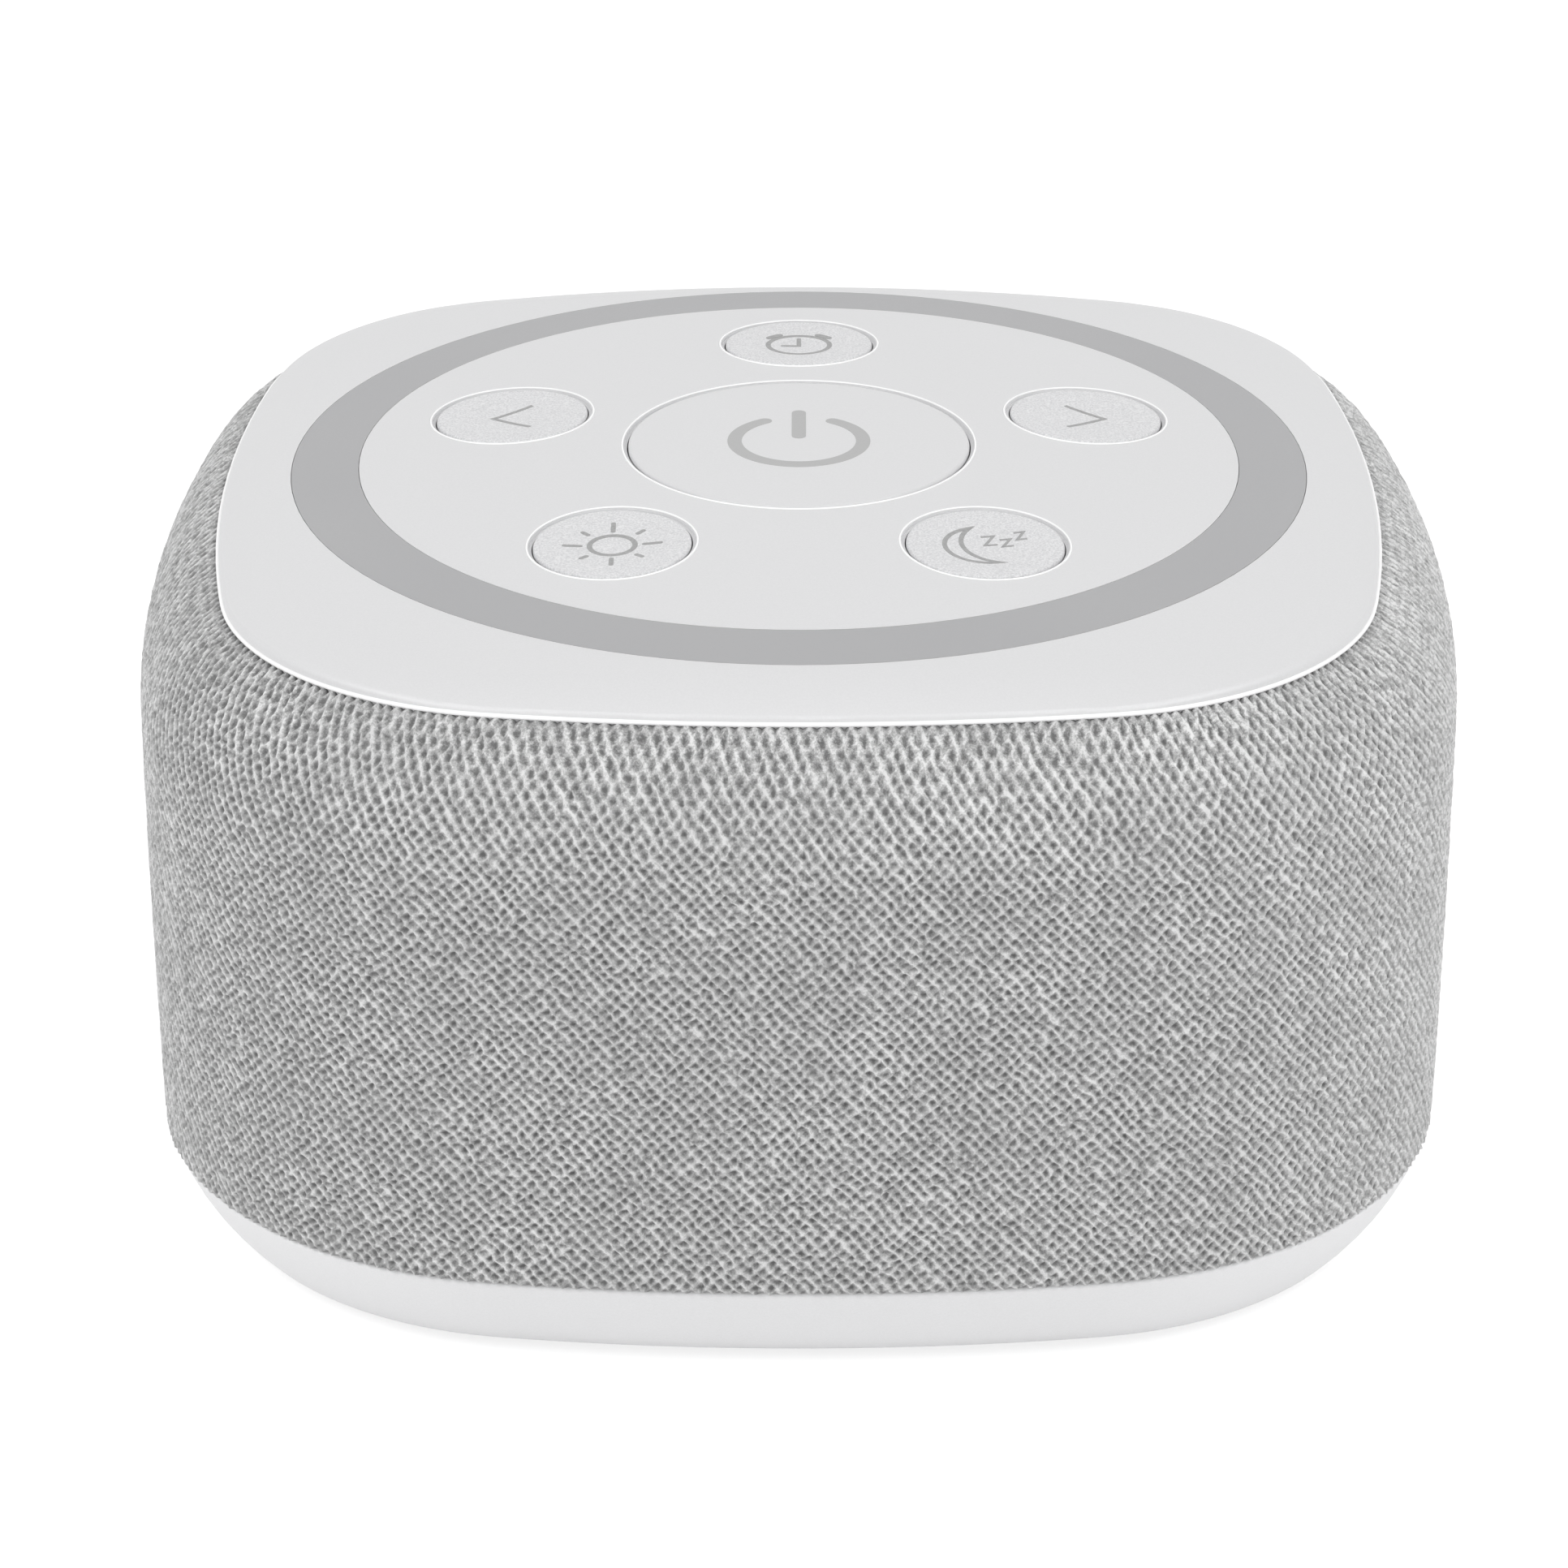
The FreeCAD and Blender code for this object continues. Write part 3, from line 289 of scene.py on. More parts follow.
moulded("abs_satin_top", "top_plastic", "#D9D9DA", "#CDCDCE", 0.41, relief=0.0015, speckle=0.25)
moulded("abs_sand_keys", "key_plastic", "#E4E4E5", "#BEBEC0", 0.5, grain=0.17, relief=0.01, speckle=0.75)
moulded("abs_satin_base", "base_plastic", "#ECECED", "#E0E0E1", 0.45)
# A near-white bead finish: the beads it goes on are painted highlight lines round the keys and along the rim.
moulded("abs_white_highlight_bead", "highlight_bead_white", "#FEFEFE", "#F8F8F8", 0.2, relief=0.0005, speckle=0.1)
moulded("silicone_lip", "lip_grey", "#DDDDDE", "#D0D0D1", 0.6, ior=1.41, relief=0.001)
moulded("abs_black_inner", "inner_plastic", "#2B2B2C", "#1F1F20", 0.55)
moulded("nylon_white", "white_plastic", "#EDECE8", "#DDDCD6", 0.35, ior=1.53)
moulded("silicone_grey", "rubber_grey", "#8B8B8D", "#77777A", 0.75, ior=1.41, grain=0.3, relief=0.01, speckle=0.5)
moulded("epoxy_black", "chip_black", "#29292A", "#1C1C1D", 0.5, ior=1.55)
moulded("pvc_black", "lead_black", "#2A2A2A", "#202020", 0.4, ior=1.53)
moulded("ferrite_black", "ferrite", "#2C2C2F", "#212124", 0.6, ior=2.3, grain=0.25, relief=0.01, speckle=0.6)

# %% [markdown]
# ### Light ring: frosted polycarbonate
# The ring lets the lights below it through, so it is a milky polycarbonate with an IOR of 1.585. Unlit, it looks
# a little darker than the ABS beside it, quite even, and soft at its edges. A little scattering under the
# surface gives that softness.

# %% Frosted polycarbonate
frost_size = 0.2
haze_size = 25
made, tree, where = start("polycarbonate_frosted")
frost = add(tree, "TexNoise", {"Vector": where, "Scale": per_mm(frost_size), "Detail": 2.0})
haze = add(tree, "TexNoise", {"Vector": where, "Scale": per_mm(haze_size), "Detail": 1.0})
gloss = add(tree, "MapRange", {"Value": out(frost), "To Min": 0.42, "To Max": 0.54})
end(made, "ring_diffuser", blend(tree, out(haze), "#A3A3A5", "#A9A9AA"), out(gloss), out(frost), 0.001, {
    "IOR": 1.585, "Subsurface Weight": 0.15, "Subsurface Radius": (1.0, 1.0, 1.0), "Subsurface Scale": 1.2 * MM,
})

# %% [markdown]
# ### Metals inside
# Zinc plating is a bright grey skin with a faint crystal mottle, stainless sheet and aluminium keep the fine
# lines of rolling, and enamelled copper is smooth and warm. A metal keeps the default IOR, and its look is all in
# its colour and in how its roughness varies.

# %% Metal finishes
def metal(name, slot, colour, second, roughness, mottle, stretch):
    """A bare or plated metal whose mottle is in millimetres, drawn out along X by stretch."""
    made, tree, where = start(name)
    rolled = add(tree, "Mapping", {"Vector": where, "Scale": (1 / stretch, 1.0, 1.0)})
    grain = add(tree, "TexNoise", {"Vector": out(rolled), "Scale": per_mm(mottle), "Detail": 4.0})
    gloss = add(tree, "MapRange", {"Value": out(grain), "To Min": roughness - 0.08, "To Max": roughness + 0.1})
    end(made, slot, blend(tree, out(grain), colour, second), out(gloss), out(grain), 0.001, {"Metallic": 1.0})


metal("zinc_plated_screw", "screw_zinc", "#C9CACC", "#B5B6B9", 0.3, 0.6, 1)
metal("zinc_plated_plate", "plate_steel", "#C2C3C6", "#A9AAAE", 0.35, 1.2, 1)
metal("stainless_sheet", "socket_steel", "#CFCFCF", "#BEBEBF", 0.25, 0.15, 12)
metal("aluminium_can", "can_aluminium", "#DCDDDF", "#CFD0D2", 0.3, 0.12, 8)
metal("copper_enamelled", "copper_coil", "#C87A4B", "#B4673A", 0.28, 0.2, 6)

# %% Powder-coated basket
peel_size = 0.5
made, tree, where = start("steel_powder_coated")
orange_peel = add(tree, "TexNoise", {"Vector": where, "Scale": per_mm(peel_size), "Detail": 2.0})
tone = blend(tree, out(orange_peel), "#2A2A2C", "#343436")
end(made, "frame_steel", tone, 0.45, out(orange_peel), 0.02, {"IOR": 1.5})

# %% [markdown]
# ### Boards, cone, spider, foam and cable
# These hidden pieces have patterns of their own: solder mask over glass cloth, pressed paper pulp, resin-dipped
# cotton, the cells of foam, and a flat cable with its row of wires.
# A wave pattern runs through 20 radians in one unit of its coordinates, and a band is 2 pi radians wide. The
# widths named below are those of one radian, so the bands of the board, the spider and the cable are 2.8, 2.5 and
# 6.3 mm wide. That is coarser than the real cloth and wires.

# %% Solder mask over glass cloth
wave_radians = 20
weave_radian = 0.45


def bands(tree, where, radian, direction, distortion=0.0):
    """Soft straight bands across a direction, with radian mm to each radian of the wave."""
    wave = add(tree, "TexWave", {"Vector": where, "Scale": per_mm(radian * wave_radians), "Distortion": distortion},
               wave_type="BANDS", bands_direction=direction)
    return out(wave, "Fac")


made, tree, where = start("glass_epoxy_board")
cloth, across = [bands(tree, where, weave_radian, direction, distortion=0.4) for direction in "XY"]
woven = out(add(tree, "Math", {0: cloth, 1: across}, operation="MULTIPLY"))
end(made, "board_green", blend(tree, woven, "#1E5A38", "#256A43"), 0.3, woven, 0.004, {"IOR": 1.55})

# %% Pressed paper cone
pulp_size = 0.6
made, tree, where = start("paper_pulp_cone")
pulp = add(tree, "TexNoise", {"Vector": where, "Scale": per_mm(pulp_size), "Detail": 6.0, "Distortion": 1.5})
end(made, "paper_cone", blend(tree, out(pulp), "#232323", "#3A3937"), 0.85, out(pulp), 0.04, {"IOR": 1.5})

# %% Resin-dipped cotton spider
thread_radian = 0.4
made, tree, where = start("cotton_resin_cloth")
warp, weft = [bands(tree, where, thread_radian, direction) for direction in "XY"]
woven = out(add(tree, "Math", {0: warp, 1: weft}, operation="MAXIMUM"))
end(made, "spider_cloth", blend(tree, woven, "#8C6A35", "#C49A57"), 0.7, woven, 0.05, {"IOR": 1.5})

# %% Black foam and rubber surround
cell_size = 0.5
made, tree, where = start("foam_closed_cell")
cells = out(add(tree, "TexVoronoi", {"Vector": where, "Scale": per_mm(cell_size)}), "Distance")
end(made, "foam_black", blend(tree, cells, "#1C1C1C", "#2D2D2D"), 0.8, cells, 0.05, {"IOR": 1.5})

# %% Flat ribbon cable
wire_radian = 1.0
made, tree, where = start("ribbon_cable_pvc")
wires = bands(tree, where, wire_radian, "X")
end(made, "ribbon_grey", blend(tree, wires, "#8E8E90", "#B9B9BB"), 0.4, wires, 0.15, {"IOR": 1.53})

# %% [markdown]
# ### Knit: polyester yarn, stretched over the cabinet
# The sleeve is a coarse tubular knit of a light grey melange yarn. The yarn's fibres scatter light softly and
# have a faint sheen at a glancing angle. The loops' hollows are darker in colour: partly the darker back of the
# loop, and partly painted shade for the light that does not get in.
#
# The mesh carries two attributes. One is the height of the yarn, so the colour follows the real relief, darker
# in the hollows partly as painted shade. The other is the place in the net of loops, with a hollow at every whole
# number, and how far the rows have opened. Slow noise bends that place, as strands do, and a dark slanted hollow
# is drawn near each whole number, also partly painted shade. Fine noise adds the fibres, which show more where the
# rows open at the rim. There the cloth is a little darker too, and the slowest noise gives the clouds of a melange
# yarn.

# %% Melange knit
loop_height = "loop_height"
loop_place = "loop_place"
strand_size = 0.9
strand_bend = (0.7, 0.7, 0.0)
hole_scatter = 0.3
hole_slant = (1.1, 0.9, 0.0)
hole_shift = (-0.08, 0.0, 0.0)
hole_slope = 2.0
fibre_size = 0.26
fuzz_closed = 2.4
fuzz_opened = 1.6
rim_lightness = -0.85
yarn_low, yarn_high = 1.6, 3.5
crest_power = 1.5
melange_size = 7


def times_plus(tree, kind, value, factor, plus):
    """The output of a Math or VectorMath node that gives value * factor + plus."""
    return out(add(tree, kind, {0: value, 1: factor, 2: plus}, operation="MULTIPLY_ADD"))


made, tree, where = start("polyester_melange_knit")
yarn_height = out(add(tree, "Attribute", attribute_name=loop_height), "Fac")
loop = out(add(tree, "Attribute", attribute_name=loop_place), "Vector")
opened = out(add(tree, "SeparateXYZ", {0: loop}), "Z")
strand = add(tree, "TexNoise", {"Vector": where, "Scale": per_mm(strand_size), "Detail": 1.0})
fibre = add(tree, "TexNoise", {"Vector": where, "Scale": per_mm(fibre_size), "Detail": 4.0, "Roughness": 0.75})
cloud = add(tree, "TexNoise", {"Vector": where, "Scale": per_mm(melange_size), "Detail": 3.0})
bent = times_plus(tree, "VectorMath", out(strand, "Color"), strand_bend, loop)
hole = add(tree, "TexVoronoi", {"Vector": bent, "Scale": 1.0, "Randomness": hole_scatter}, voronoi_dimensions="2D")
aside = out(add(tree, "VectorMath", {0: bent, 1: out(hole, "Position")}, operation="SUBTRACT"))
slanted = times_plus(tree, "VectorMath", aside, hole_slant, hole_shift)
away = out(add(tree, "VectorMath", {0: slanted}, operation="LENGTH"), "Value")
rounded = times_plus(tree, "Math", away, hole_slope, yarn_height)
rimmed = times_plus(tree, "Math", opened, rim_lightness, rounded)
fuzz = times_plus(tree, "Math", opened, fuzz_opened, fuzz_closed)
shaken = times_plus(tree, "Math", out(fibre), fuzz, rimmed)
# Low yarn and nearness to a hole give the hollows their dark colour: partly the loop's back, partly painted shade.
yarn = add(tree, "MapRange", {"Value": shaken, "From Min": yarn_low, "From Max": yarn_high})
crest = add(tree, "Math", {0: out(yarn), 1: crest_power}, operation="POWER")
shade = add(tree, "MapRange", {"Value": out(cloud), "From Min": noise_low, "From Max": noise_high,
                               "To Min": 0.2, "To Max": 0.0})
mottled = add(tree, "Mix", {"Factor_Float": out(shade), "A_Color": blend(tree, out(crest), "#686868", "#F0F0F0"),
                            "B_Color": linear("#8F8F8F")}, data_type="RGBA")
end(made, "knit_fabric", out(mottled, "Result_Color"), 0.9, out(fibre), 0.05, {
    "IOR": 1.45, "Sheen Weight": 0.35, "Sheen Roughness": 0.4,
})

# %% [markdown]
# ### Symbols: pad-printed ink
# The symbols are printed with a thin silicone-pad ink, matt and mid grey. A printed film is about 0.02 mm thick.

# %% Ink
press_size = 0.25


def ink(name, colour):
    """A matt printed ink, very slightly uneven where the pad pressed less."""
    made, tree, where = start(name)
    press = add(tree, "TexNoise", {"Vector": where, "Scale": per_mm(press_size), "Detail": 2.0})
    end(made, name, blend(tree, out(press), colour, "#B4B4B4"), 0.6, out(press), 0.002, {"IOR": 1.5})


ink("ink_grey", "#888888")
ink("ink_pale", "#B0B0B0")

# %% Give every node its finish
for subpart in frame["record"]["subparts"]:
    mesh = nodes[subpart["node"]].data
    mesh.materials.clear()
    mesh.materials.append(finishes[subpart["material_slot"]])

# %% [markdown]
# ## The knitted sleeve
# A tubular knit is a net of loops. From a step away it reads as rows of small hollows, each row shifted by half
# a loop, with two sets of yarn ridges that cross between them. On this sleeve the ridges that fall to the right
# stand prouder, so the eye sees slanting streaks. The sleeve is pulled over the shoulder, and the rows open there.
# A bump map would stay smooth in outline and in its mesh, so every hollow and crossing is a real vertex of a grid.
# In half of its squares a straight ridge falls to the right. In the others a ridge rises to the right, and a
# vertex in its middle makes each one different.
#
# First comes the shape that the knit is stretched on: the body's outline as eight arcs, and the upright profile.

# %% The body's outline, seen from above
side_radius = 160.0
corner_radius = 32.0
reach = side_radius - half_width
gap = side_radius - corner_radius
corner_centre = (math.sqrt(2 * gap ** 2 - reach ** 2) - reach) / 2
lean = math.atan2(corner_centre, corner_centre + reach)

arc_centres, arc_radii, arc_starts, arc_sweeps = [], [], [], []
for quarter in range(4):
    for turn, away, radius, begin, sweep in (
        (0, -reach, side_radius, -lean, 2 * lean),
        (math.pi / 4, math.sqrt(2) * corner_centre, corner_radius, lean, math.pi / 2 - 2 * lean),
    ):
        angle = quarter * math.pi / 2
        arc_centres.append((away * math.cos(angle + turn), away * math.sin(angle + turn)))
        arc_radii.append(radius)
        arc_starts.append(angle + begin)
        arc_sweeps.append(sweep)
arc_centres, arc_radii, arc_starts, arc_sweeps = map(np.array, (arc_centres, arc_radii, arc_starts, arc_sweeps))
arc_ends = np.cumsum(arc_radii * arc_sweeps)
perimeter = arc_ends[-1]
print(f"outline: {len(arc_radii)} arcs, {perimeter:.1f} mm round")


def on_outline(along, inset):
    """Places on the outline drawn in by inset, at a distance along it, and the way out from there."""
    along = along % perimeter
    arc = np.minimum(np.searchsorted(arc_ends, along, side="right"), len(arc_ends) - 1)
    from_start = along - (arc_ends - arc_radii * arc_sweeps)[arc]
    angle = arc_starts[arc] + from_start / arc_radii[arc]
    way = np.stack([np.cos(angle), np.sin(angle)], -1)
    return arc_centres[arc] + (arc_radii[arc] - inset)[..., None] * way, way


# %% The sleeve's upright profile
sleeve_low, sleeve_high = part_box("fabric_sleeve")
sleeve_bottom = sleeve_low.z / MM
sleeve_bottom_inset = 0.4
sleeve_bow = 0.1
shoulder_radius = 13.0
shoulder_drop = 15.8
sleeve_top_inset = 6.4
wall_height = overall_height - shoulder_drop - sleeve_bottom
shoulder_turn = math.acos(1 - sleeve_top_inset / shoulder_radius)
sleeve_length = wall_height + shoulder_radius * shoulder_turn
print(f"sleeve: {sleeve_length:.1f} mm from hem to rim, top at {sleeve_high.z / MM:.1f} mm")


def on_sleeve(along, up, proud):
    """Points on the sleeve, along the outline and up the profile, standing proud of the cloth's middle face."""
    share = np.clip(up / wall_height, 0, 1)
    turn = np.clip((up - wall_height) / shoulder_radius, 0, None)
    inset = sleeve_bottom_inset * (1 - share) - 4 * sleeve_bow * share * (1 - share)
    inset = inset + shoulder_radius * (1 - np.cos(turn)) - proud * np.cos(turn)
    z = sleeve_bottom + np.minimum(up, wall_height) + shoulder_radius * np.sin(turn) + proud * np.sin(turn)
    place, way = on_outline(along, inset)
    return np.concatenate([place, z[..., None]], -1)


# %% [markdown]
# The loops are counted from the photograph: one each 1.06 mm round the body, and a row each 0.53 mm at the hem,
# opening to 1.3 mm at the rim. No two loops are alike, so every point is moved a little, by a seeded draw.
# Heights are shares of the yarn's height: 0 is the back of the deepest hollow, and 1 the usual top of a ridge.

# %% Knit the sleeve
wales = 338
rows = 81
rim_stretch = 1.64
rim_grip = 16
wale_lean = 0.1
loop_depth = 0.38
loop_proud = 0.05
hollow_low, hollow_high = 0.0, 0.35
crossing_low, crossing_high = 0.9, 1.2
middle_low, middle_high = 0.65, 1.1
hem_value = 0.5
jitter_along, jitter_up = 0.1, 0.09
wander_size, wander_spread = 3, 0.07
hem = 0.8
draw = np.random.default_rng(11)

columns = 2 * wales
half_wale = perimeter / columns
shares = np.arange(rows + 1) / rows
opening = np.concatenate([[0], np.cumsum(1 + rim_stretch * ((shares[1:] + shares[:-1]) / 2) ** rim_grip)])
row_up = sleeve_length * opening / opening[-1]

column, row = np.meshgrid(np.arange(columns), np.arange(rows + 1))
hollow = (column + row) % 2 == 0
grid_value = np.where(hollow, draw.uniform(hollow_low, hollow_high, hollow.shape),
                      draw.uniform(crossing_low, crossing_high, hollow.shape))
inner = ((row > 0) & (row < rows)).astype(float)


def wander(size, spread):
    """Slow random shifts over the grid, smoothed over size steps each way, with a standard deviation of spread mm."""
    shift = draw.normal(size=hollow.shape)
    for axis in (0, 1):
        shift = sum(np.roll(shift, step, axis) for step in range(-size, size + 1))
    return shift * spread / shift.std()


def corner_mean(field):
    """The mean of a grid field over the four corners of every square."""
    pair = (field + np.roll(field, -1, 1)) / 2
    return (pair[:-1] + pair[1:]) / 2


shift_along = (draw.uniform(-jitter_along, jitter_along, hollow.shape) + wander(wander_size, wander_spread)) * inner
shift_up = (draw.uniform(-jitter_up, jitter_up, hollow.shape) + wander(wander_size, wander_spread)) * inner
grid_along = column * half_wale + shift_along
grid_up = row_up[row] + shift_up

falls_right = hollow[:-1]
rises_right = ~falls_right
middle_value = draw.uniform(middle_low, middle_high, falls_right.shape)
middle_along = (column[:-1] + 0.5) * half_wale + corner_mean(shift_along)
middle_up = corner_mean(row_up[row]) + corner_mean(shift_up)


def relief(value):
    """How far a point of the knit stands out, from its share of the yarn's height."""
    return loop_proud - loop_depth * (1 - value)


knit_along = np.concatenate([grid_along.ravel(), middle_along[rises_right]])
knit_up = np.concatenate([grid_up.ravel(), middle_up[rises_right]])
knit_value = np.concatenate([grid_value.ravel(), middle_value[rises_right]])
knit_points = on_sleeve(knit_along + wale_lean * knit_up, knit_up, relief(knit_value))
hem_along = np.arange(columns) * half_wale
hem_low = on_sleeve(hem_along, np.zeros(columns), np.full(columns, -hem))
hem_high = on_sleeve(hem_along + wale_lean * sleeve_length, np.full(columns, sleeve_length), np.zeros(columns))
hem_high[:, 2] -= hem
points = np.concatenate([knit_points, hem_low, hem_high]) * MM
values = np.concatenate([knit_value, np.full(2 * columns, hem_value)])
print(f"knit: {wales} wales by {rows} rows, {len(points)} points")

# %% Faces of the knit
after = (np.arange(columns) + 1) % columns
grid_index = np.arange((rows + 1) * columns).reshape(rows + 1, columns)
middle_index = grid_index.size + np.arange(rises_right.sum())
hem_low_index = grid_index.size + middle_index.size + np.arange(columns)
hem_high_index = hem_low_index + columns

corners = np.stack([grid_index[:-1], grid_index[:-1][:, after], grid_index[1:][:, after], grid_index[1:]], -1)
ridge_squares, dip_squares = corners[falls_right], corners[rises_right]
triangles = np.concatenate(
    [ridge_squares[:, [0, 1, 3]], ridge_squares[:, [1, 2, 3]]]
    + [np.stack([dip_squares[:, k - 1], dip_squares[:, k], middle_index], -1) for k in range(4)]
)
hem_quads = np.concatenate([
    np.stack([hem_low_index, hem_low_index[after], grid_index[0][after], grid_index[0]], -1),
    np.stack([grid_index[-1], grid_index[-1][after], hem_high_index[after], hem_high_index], -1),
])
faces = triangles.tolist() + hem_quads.tolist()

counted_column = np.concatenate([column.ravel(), column[:-1][rises_right] + 0.5, np.tile(np.arange(columns), 2)])
counted_row = np.concatenate([row.ravel(), row[:-1][rises_right] + 0.5,
                              np.full(columns, -1), np.full(columns, rows + 1)])
corner_place = []
for group in (triangles, hem_quads):
    across, up = counted_column[group], counted_row[group]
    across = np.where(across.max(1, keepdims=True) - across > wales, across + columns, across)
    opened = np.clip(up / rows, 0, 1) ** rim_grip
    corner_place.append(np.stack([(across + up) / 2, (across - up) / 2, opened], -1).reshape(-1, 3))
corner_place = np.concatenate(corner_place)
print(f"knit: {len(triangles) + 2 * len(hem_quads)} triangles")

# %% The sleeve as an object
sleeve_mesh = bpy.data.meshes.new("knitted_sleeve")
sleeve_mesh.from_pydata(points.tolist(), [], faces)
sleeve_mesh.polygons.foreach_set("use_smooth", np.ones(len(faces), dtype=bool))
height_layer = sleeve_mesh.attributes.new(loop_height, "FLOAT", "POINT")
height_layer.data.foreach_set("value", values)
place_layer = sleeve_mesh.attributes.new(loop_place, "FLOAT_VECTOR", "CORNER")
place_layer.data.foreach_set("vector", corner_place.ravel())
sleeve_mesh.materials.append(finishes["knit_fabric"])
sleeve_mesh.update()
sleeve = bpy.data.objects.new("knitted_sleeve", sleeve_mesh)
bpy.context.scene.collection.objects.link(sleeve)
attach(sleeve, "housing")
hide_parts("fabric_sleeve")

# %% [markdown]
# ## Highlight beads and lips
# Each key stands in a hole with a gap of a third of a millimetre. Round the hole runs a fine white bead, which
# paints the white highlight line that the edges of the hole and the key would catch. A thin soft lip closes the gap
# from inside, so the gap looks grey and not black. A larger white bead goes round the foot of the rolled rim, over
# the edge of the cloth, and paints the bright highlight along the rim. All of them are rings: a small cross section
# goes round, and a ray finds the height of the dome, or the face of the rim, at every step.

# %% Beads and lips
hole_radius = {"power": 14.15}
small_hole_radius = 6.55
edge_round = 0.25
ray_margin = 0.05
ring_steps = 120
highlight_bead_radius = 0.095
highlight_bead_out = 0.12
highlight_bead_up = -0.01
lip_out, lip_in = 0.03, -0.26
lip_top, lip_thickness = -0.3, 0.1
key_names = ["power", "alarm", "previous", "next", "brightness", "sleep_timer"]


def round_section(radius, corners, beside=0, height=0):
    """A round cross section as (out, up) points in mm, with its middle beside and height mm from the path."""
    turns = [2 * math.pi * k / corners for k in range(corners)]
    return [(beside + radius * math.cos(turn), height + radius * math.sin(turn)) for turn in turns]


def surface_of(node):
    """A node's surface, ready for rays."""
    mesh = nodes[node].data
    return BVHTree.FromPolygons([v.co for v in mesh.vertices], [p.vertices for p in mesh.polygons])


def rings(name, paths, outline, finish):
    """Closed rings in one piece. A path is a list of (place, way out), and the outline is (out, up) in mm."""
    points, faces = [], []
    count = len(outline)
    for path in paths:
        first = len(points)
        points += [place + (way * beside + Vector((0, 0, height))) * MM for place, way in path
                   for beside, height in outline]
        for k in range(len(path)):
            here, there = first + k * count, first + (k + 1) % len(path) * count
            faces += [(here + j, there + j, there + (j + 1) % count, here + (j + 1) % count) for j in range(count)]
    mesh = bpy.data.meshes.new(name)
    mesh.from_pydata(points, [], faces)
    mesh.polygons.foreach_set("use_smooth", np.full(len(faces), count > 4))
    mesh.materials.append(finishes[finish])
    piece = bpy.data.objects.new(name, mesh)
    bpy.context.scene.collection.objects.link(piece)
    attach(piece, "housing")
    print(f"{name}: {len(paths)} rings, {len(faces)} faces")


# The white bead paints the highlight line round each key hole.
bead = round_section(highlight_bead_radius, 8, highlight_bead_out, highlight_bead_up)
lip_bottom = lip_top - lip_thickness
lip = [(lip_out, lip_top), (lip_in, lip_top), (lip_in, lip_bottom), (lip_out, lip_bottom)]
panel_top = surface_of("button_panel")
hole_edges = []
for key in key_names:
    low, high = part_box(key + "_button")
    radius = hole_radius.get(key, small_hole_radius)
    hole_edges.append([])
    for angle in np.linspace(0, 2 * math.pi, ring_steps, endpoint=False):
        way = Vector((math.cos(angle), math.sin(angle), 0))
        at = (low + high) / 2 + way * (radius + edge_round + ray_margin) * MM
        at.z = panel_top.ray_cast(Vector((at.x, at.y, 2 * cad_high.z)), Vector((0, 0, -1)))[0].z
        hole_edges[-1].append((at - way * (edge_round + ray_margin) * MM, way))
rings("key_highlight_beads", hole_edges, bead, "highlight_bead_white")
rings("key_lips", hole_edges, lip, "lip_grey")

# %% Highlight bead round the rim
rim_steps = 720
rim_highlight_bead_radius = 0.2
rim_lift = 0.1
ray_inset = 3.0
rim_face = surface_of("top_bezel")
rim_height = sleeve_bottom + wall_height + shoulder_radius * math.sin(shoulder_turn) + rim_lift
rim_path = []
for place, way in zip(*on_outline(np.arange(rim_steps) * perimeter / rim_steps, ray_inset)):
    start_at, way = Vector((*place, rim_height)) * MM, Vector((*way, 0))
    rim_path.append((rim_face.ray_cast(start_at, -way)[0], way))
# This white bead paints the bright highlight along the foot of the rim.
rings("rim_highlight_bead", [rim_path], round_section(rim_highlight_bead_radius, 10), "highlight_bead_white")

# %% [markdown]
# ## Symbols on the keys
# The symbols are plain line drawings, as on most such keys: an alarm clock, two chevrons, a sun, a moon with
# three small letters, and a power sign. Each is a set of pen strokes. A stroke is a row of cross sections along
# its path, which taper to a point at a round end. The printed film follows the key's hollowed face: it stands a
# little above it, and is sunk in a little so that no light gets under it.

# %% Pen strokes
film_top = 0.02
film_bottom = 0.06
step = 0.25
end_sections = 4


def arc_path(centre, radius, begin, finish, count=40):
    """Points along an arc, with angles in degrees."""
    angles = np.radians(np.linspace(begin, finish, count))
    return np.stack([centre[0] + radius * np.cos(angles), centre[1] + radius * np.sin(angles)], -1)


def fine(points, closed):
    """The path with points added, so that none is more than a step from the next."""
    points = [np.array(point, float) for point in points]
    ends = points[1:] + points[:1] if closed else points[1:]
    path = []
    for begin, finish in zip(points, ends):
        count = max(1, math.ceil(np.linalg.norm(finish - begin) / step))
        path += [begin + (finish - begin) * k / count for k in range(count)]
    return np.array(path if closed else path + [points[-1]])


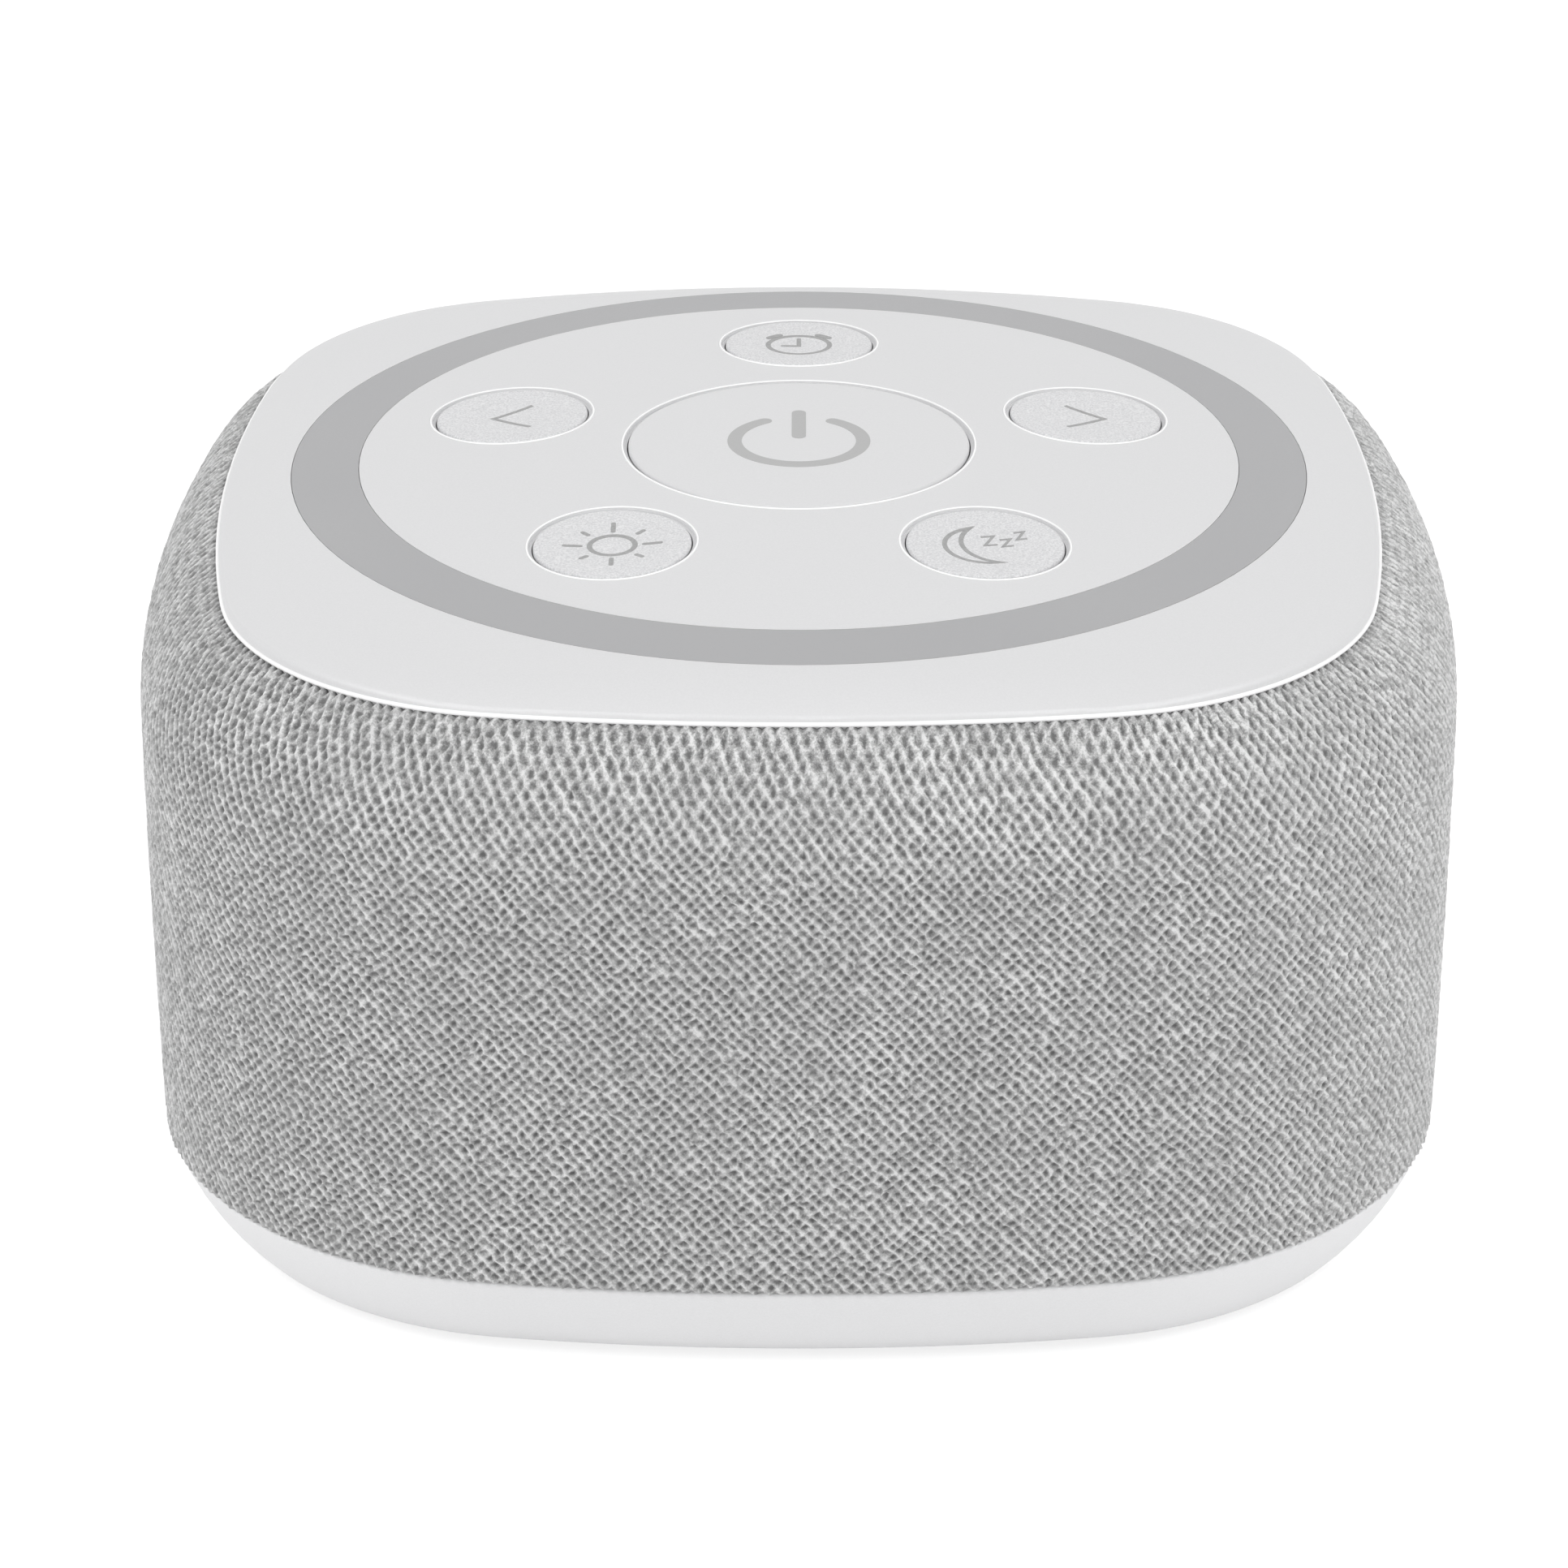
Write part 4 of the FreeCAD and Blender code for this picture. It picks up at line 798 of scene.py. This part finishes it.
def sections(points, width, closed=False, round_ends=True):
    """Left and right edge points of a stroke: mitred at corners and, at its ends, round or square."""
    path = fine(points, closed)
    before, behind = np.roll(path, 1, 0), np.roll(path, -1, 0)
    if not closed:
        before[0], behind[-1] = 2 * path[0] - path[1], 2 * path[-1] - path[-2]
    arriving = (path - before) / np.linalg.norm(path - before, axis=1)[:, None]
    leaving = (behind - path) / np.linalg.norm(behind - path, axis=1)[:, None]
    bisector = arriving + leaving
    bisector /= np.linalg.norm(bisector, axis=1)[:, None]
    side = np.stack([-bisector[:, 1], bisector[:, 0]], -1)
    across = np.stack([-arriving[:, 1], arriving[:, 0]], -1)
    offset = side * (width / 2 / np.clip((side * across).sum(1), 0.3, 1))[:, None]
    pairs = [(p + o, p - o) for p, o in zip(path, offset)]
    if closed or not round_ends:
        return pairs
    turns = [math.pi / 2 * k / end_sections for k in range(1, end_sections + 1)]
    first = [(path[0] - arriving[0] * width / 2 * math.sin(t), side[0] * width / 2 * math.cos(t)) for t in turns]
    last = [(path[-1] + leaving[-1] * width / 2 * math.sin(t), side[-1] * width / 2 * math.cos(t)) for t in turns]
    return [(p + o, p - o) for p, o in reversed(first)] + pairs + [(p + o, p - o) for p, o in last]


def print_symbol(key, strokes, finish):
    """Prints strokes, drawn in mm about the key's middle, on its face as a thin film that moves with the key."""
    low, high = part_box(key + "_button")
    centre = (low + high) / 2
    face = surface_of(key + "_button")
    points, faces = [], []
    for pairs, closed in strokes:
        first = len(points)
        for x, y in (edge for pair in pairs for edge in pair):
            at = Vector((centre.x + x * MM, centre.y + y * MM, high.z + MM))
            hit = face.ray_cast(at, Vector((0, 0, -1)))[0]
            points += [hit + Vector((0, 0, film_top * MM)), hit - Vector((0, 0, film_bottom * MM))]
        cuts = [[first + 4 * k + corner for corner in (0, 2, 3, 1)] for k in range(len(pairs))]
        if closed:
            cuts.append(cuts[0])
        for one, two in zip(cuts, cuts[1:]):
            faces += [[one[k], one[k - 3], two[k - 3], two[k]] for k in range(4)]
        if not closed:
            faces += [cuts[0], cuts[-1][::-1]]
    mesh = bpy.data.meshes.new(key + "_symbol")
    mesh.from_pydata(points, [], faces)
    mesh.validate()
    mesh.materials.append(finishes[finish])
    symbol = bpy.data.objects.new(key + "_symbol", mesh)
    bpy.context.scene.collection.objects.link(symbol)
    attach(symbol, key + "_key")
    print(f"{key} symbol: {len(strokes)} strokes, {len(faces)} faces")


def line_stroke(points, width, round_ends=True):
    """A stroke along a line that has two ends."""
    return sections(points, width, round_ends=round_ends), False


def closed_stroke(points, width):
    """A stroke along a line that comes back to its start."""
    return sections(points, width, closed=True), True


# %% Alarm clock
pen = 0.42
thin_pen = 0.38
ear_pen = 0.58
clock_radius = 2.6
ear_radius = 3.14
ear_half = 11
clock = [closed_stroke(arc_path((0, 0), clock_radius, 0, 351, 40), pen),
         line_stroke([(0, 1.8), (0, -0.1), (-1.35, -0.1)], thin_pen)]
for tilt in (48, 132):
    clock.append(line_stroke(arc_path((0, 0), ear_radius, tilt - ear_half, tilt + ear_half, 6), ear_pen))
print_symbol("alarm", clock, "ink_grey")

# %% Chevrons
chevron_depth = 3.1
chevron_height = 5.0
chevron_pen = 0.36
for key, way in (("previous", -1), ("next", 1)):
    tip = way * chevron_depth / 2
    wings = [(-tip, chevron_height / 2), (tip, 0), (-tip, -chevron_height / 2)]
    print_symbol(key, [line_stroke(wings, chevron_pen, round_ends=False)], "ink_grey")

# %% Sun
sun_radius = 1.78
long_ray = (2.5, 3.75)
short_ray = (2.75, 3.35)
sun = [closed_stroke(arc_path((0, 0), sun_radius, 0, 350, 36), pen)]
for turn in range(0, 360, 45):
    inner_end, outer_end = long_ray if turn % 90 == 0 else short_ray
    way = np.array([math.cos(math.radians(turn)), math.sin(math.radians(turn))])
    sun.append(line_stroke([way * inner_end, way * outer_end], thin_pen))
print_symbol("brightness", sun, "ink_grey")

# %% [markdown]
# The moon is one disc with a bite of another disc taken out. The law of cosines gives where the circles cross.

# %% Moon and three small letters
moon_centre, moon_radius = np.array((0.05, -0.1)), 3.24
bite_centre, bite_radius = np.array((2.1, 0.65)), 3.99
between = bite_centre - moon_centre
distance = np.linalg.norm(between)
direction = math.degrees(math.atan2(between[1], between[0]))


def half_angle(radius, other_radius):
    """Degrees from the line of centres to where the circles cross, seen from the centre of the first."""
    return math.degrees(math.acos((radius ** 2 + distance ** 2 - other_radius ** 2) / (2 * radius * distance)))


moon_half, bite_half = half_angle(moon_radius, bite_radius), half_angle(bite_radius, moon_radius)
facing = direction + 180
outer = arc_path(moon_centre, moon_radius, direction + moon_half, direction + 360 - moon_half, 40)
bite = arc_path(bite_centre, bite_radius, facing + bite_half, facing - bite_half, 30)
moon = [closed_stroke(np.concatenate([outer, bite[1:-1]]), thin_pen)]
letter_pen = 0.24
letter_lean = math.radians(12)
for x, y, width, height in ((0.31, 0.88, 1.0, 1.5), (1.67, 0.58, 0.85, 1.2), (2.77, 1.79, 0.8, 1.2)):
    right, top = width / 2, height / 2
    turned = [(x + a * math.cos(letter_lean) - b * math.sin(letter_lean),
               y + a * math.sin(letter_lean) + b * math.cos(letter_lean))
              for a, b in ((-right, top), (right, top), (-right, -top), (right, -top))]
    moon.append(line_stroke(turned, letter_pen, round_ends=False))
print_symbol("sleep_timer", moon, "ink_grey")

# %% Power sign
power_radius = 5.2
power_pen = 1.15
power_gap = 32
power = [line_stroke(arc_path((0, 0), power_radius, 90 + power_gap, 450 - power_gap, 60), power_pen),
         line_stroke([(0, 1.0), (0, 6.3)], power_pen)]
print_symbol("power", power, "ink_pale")
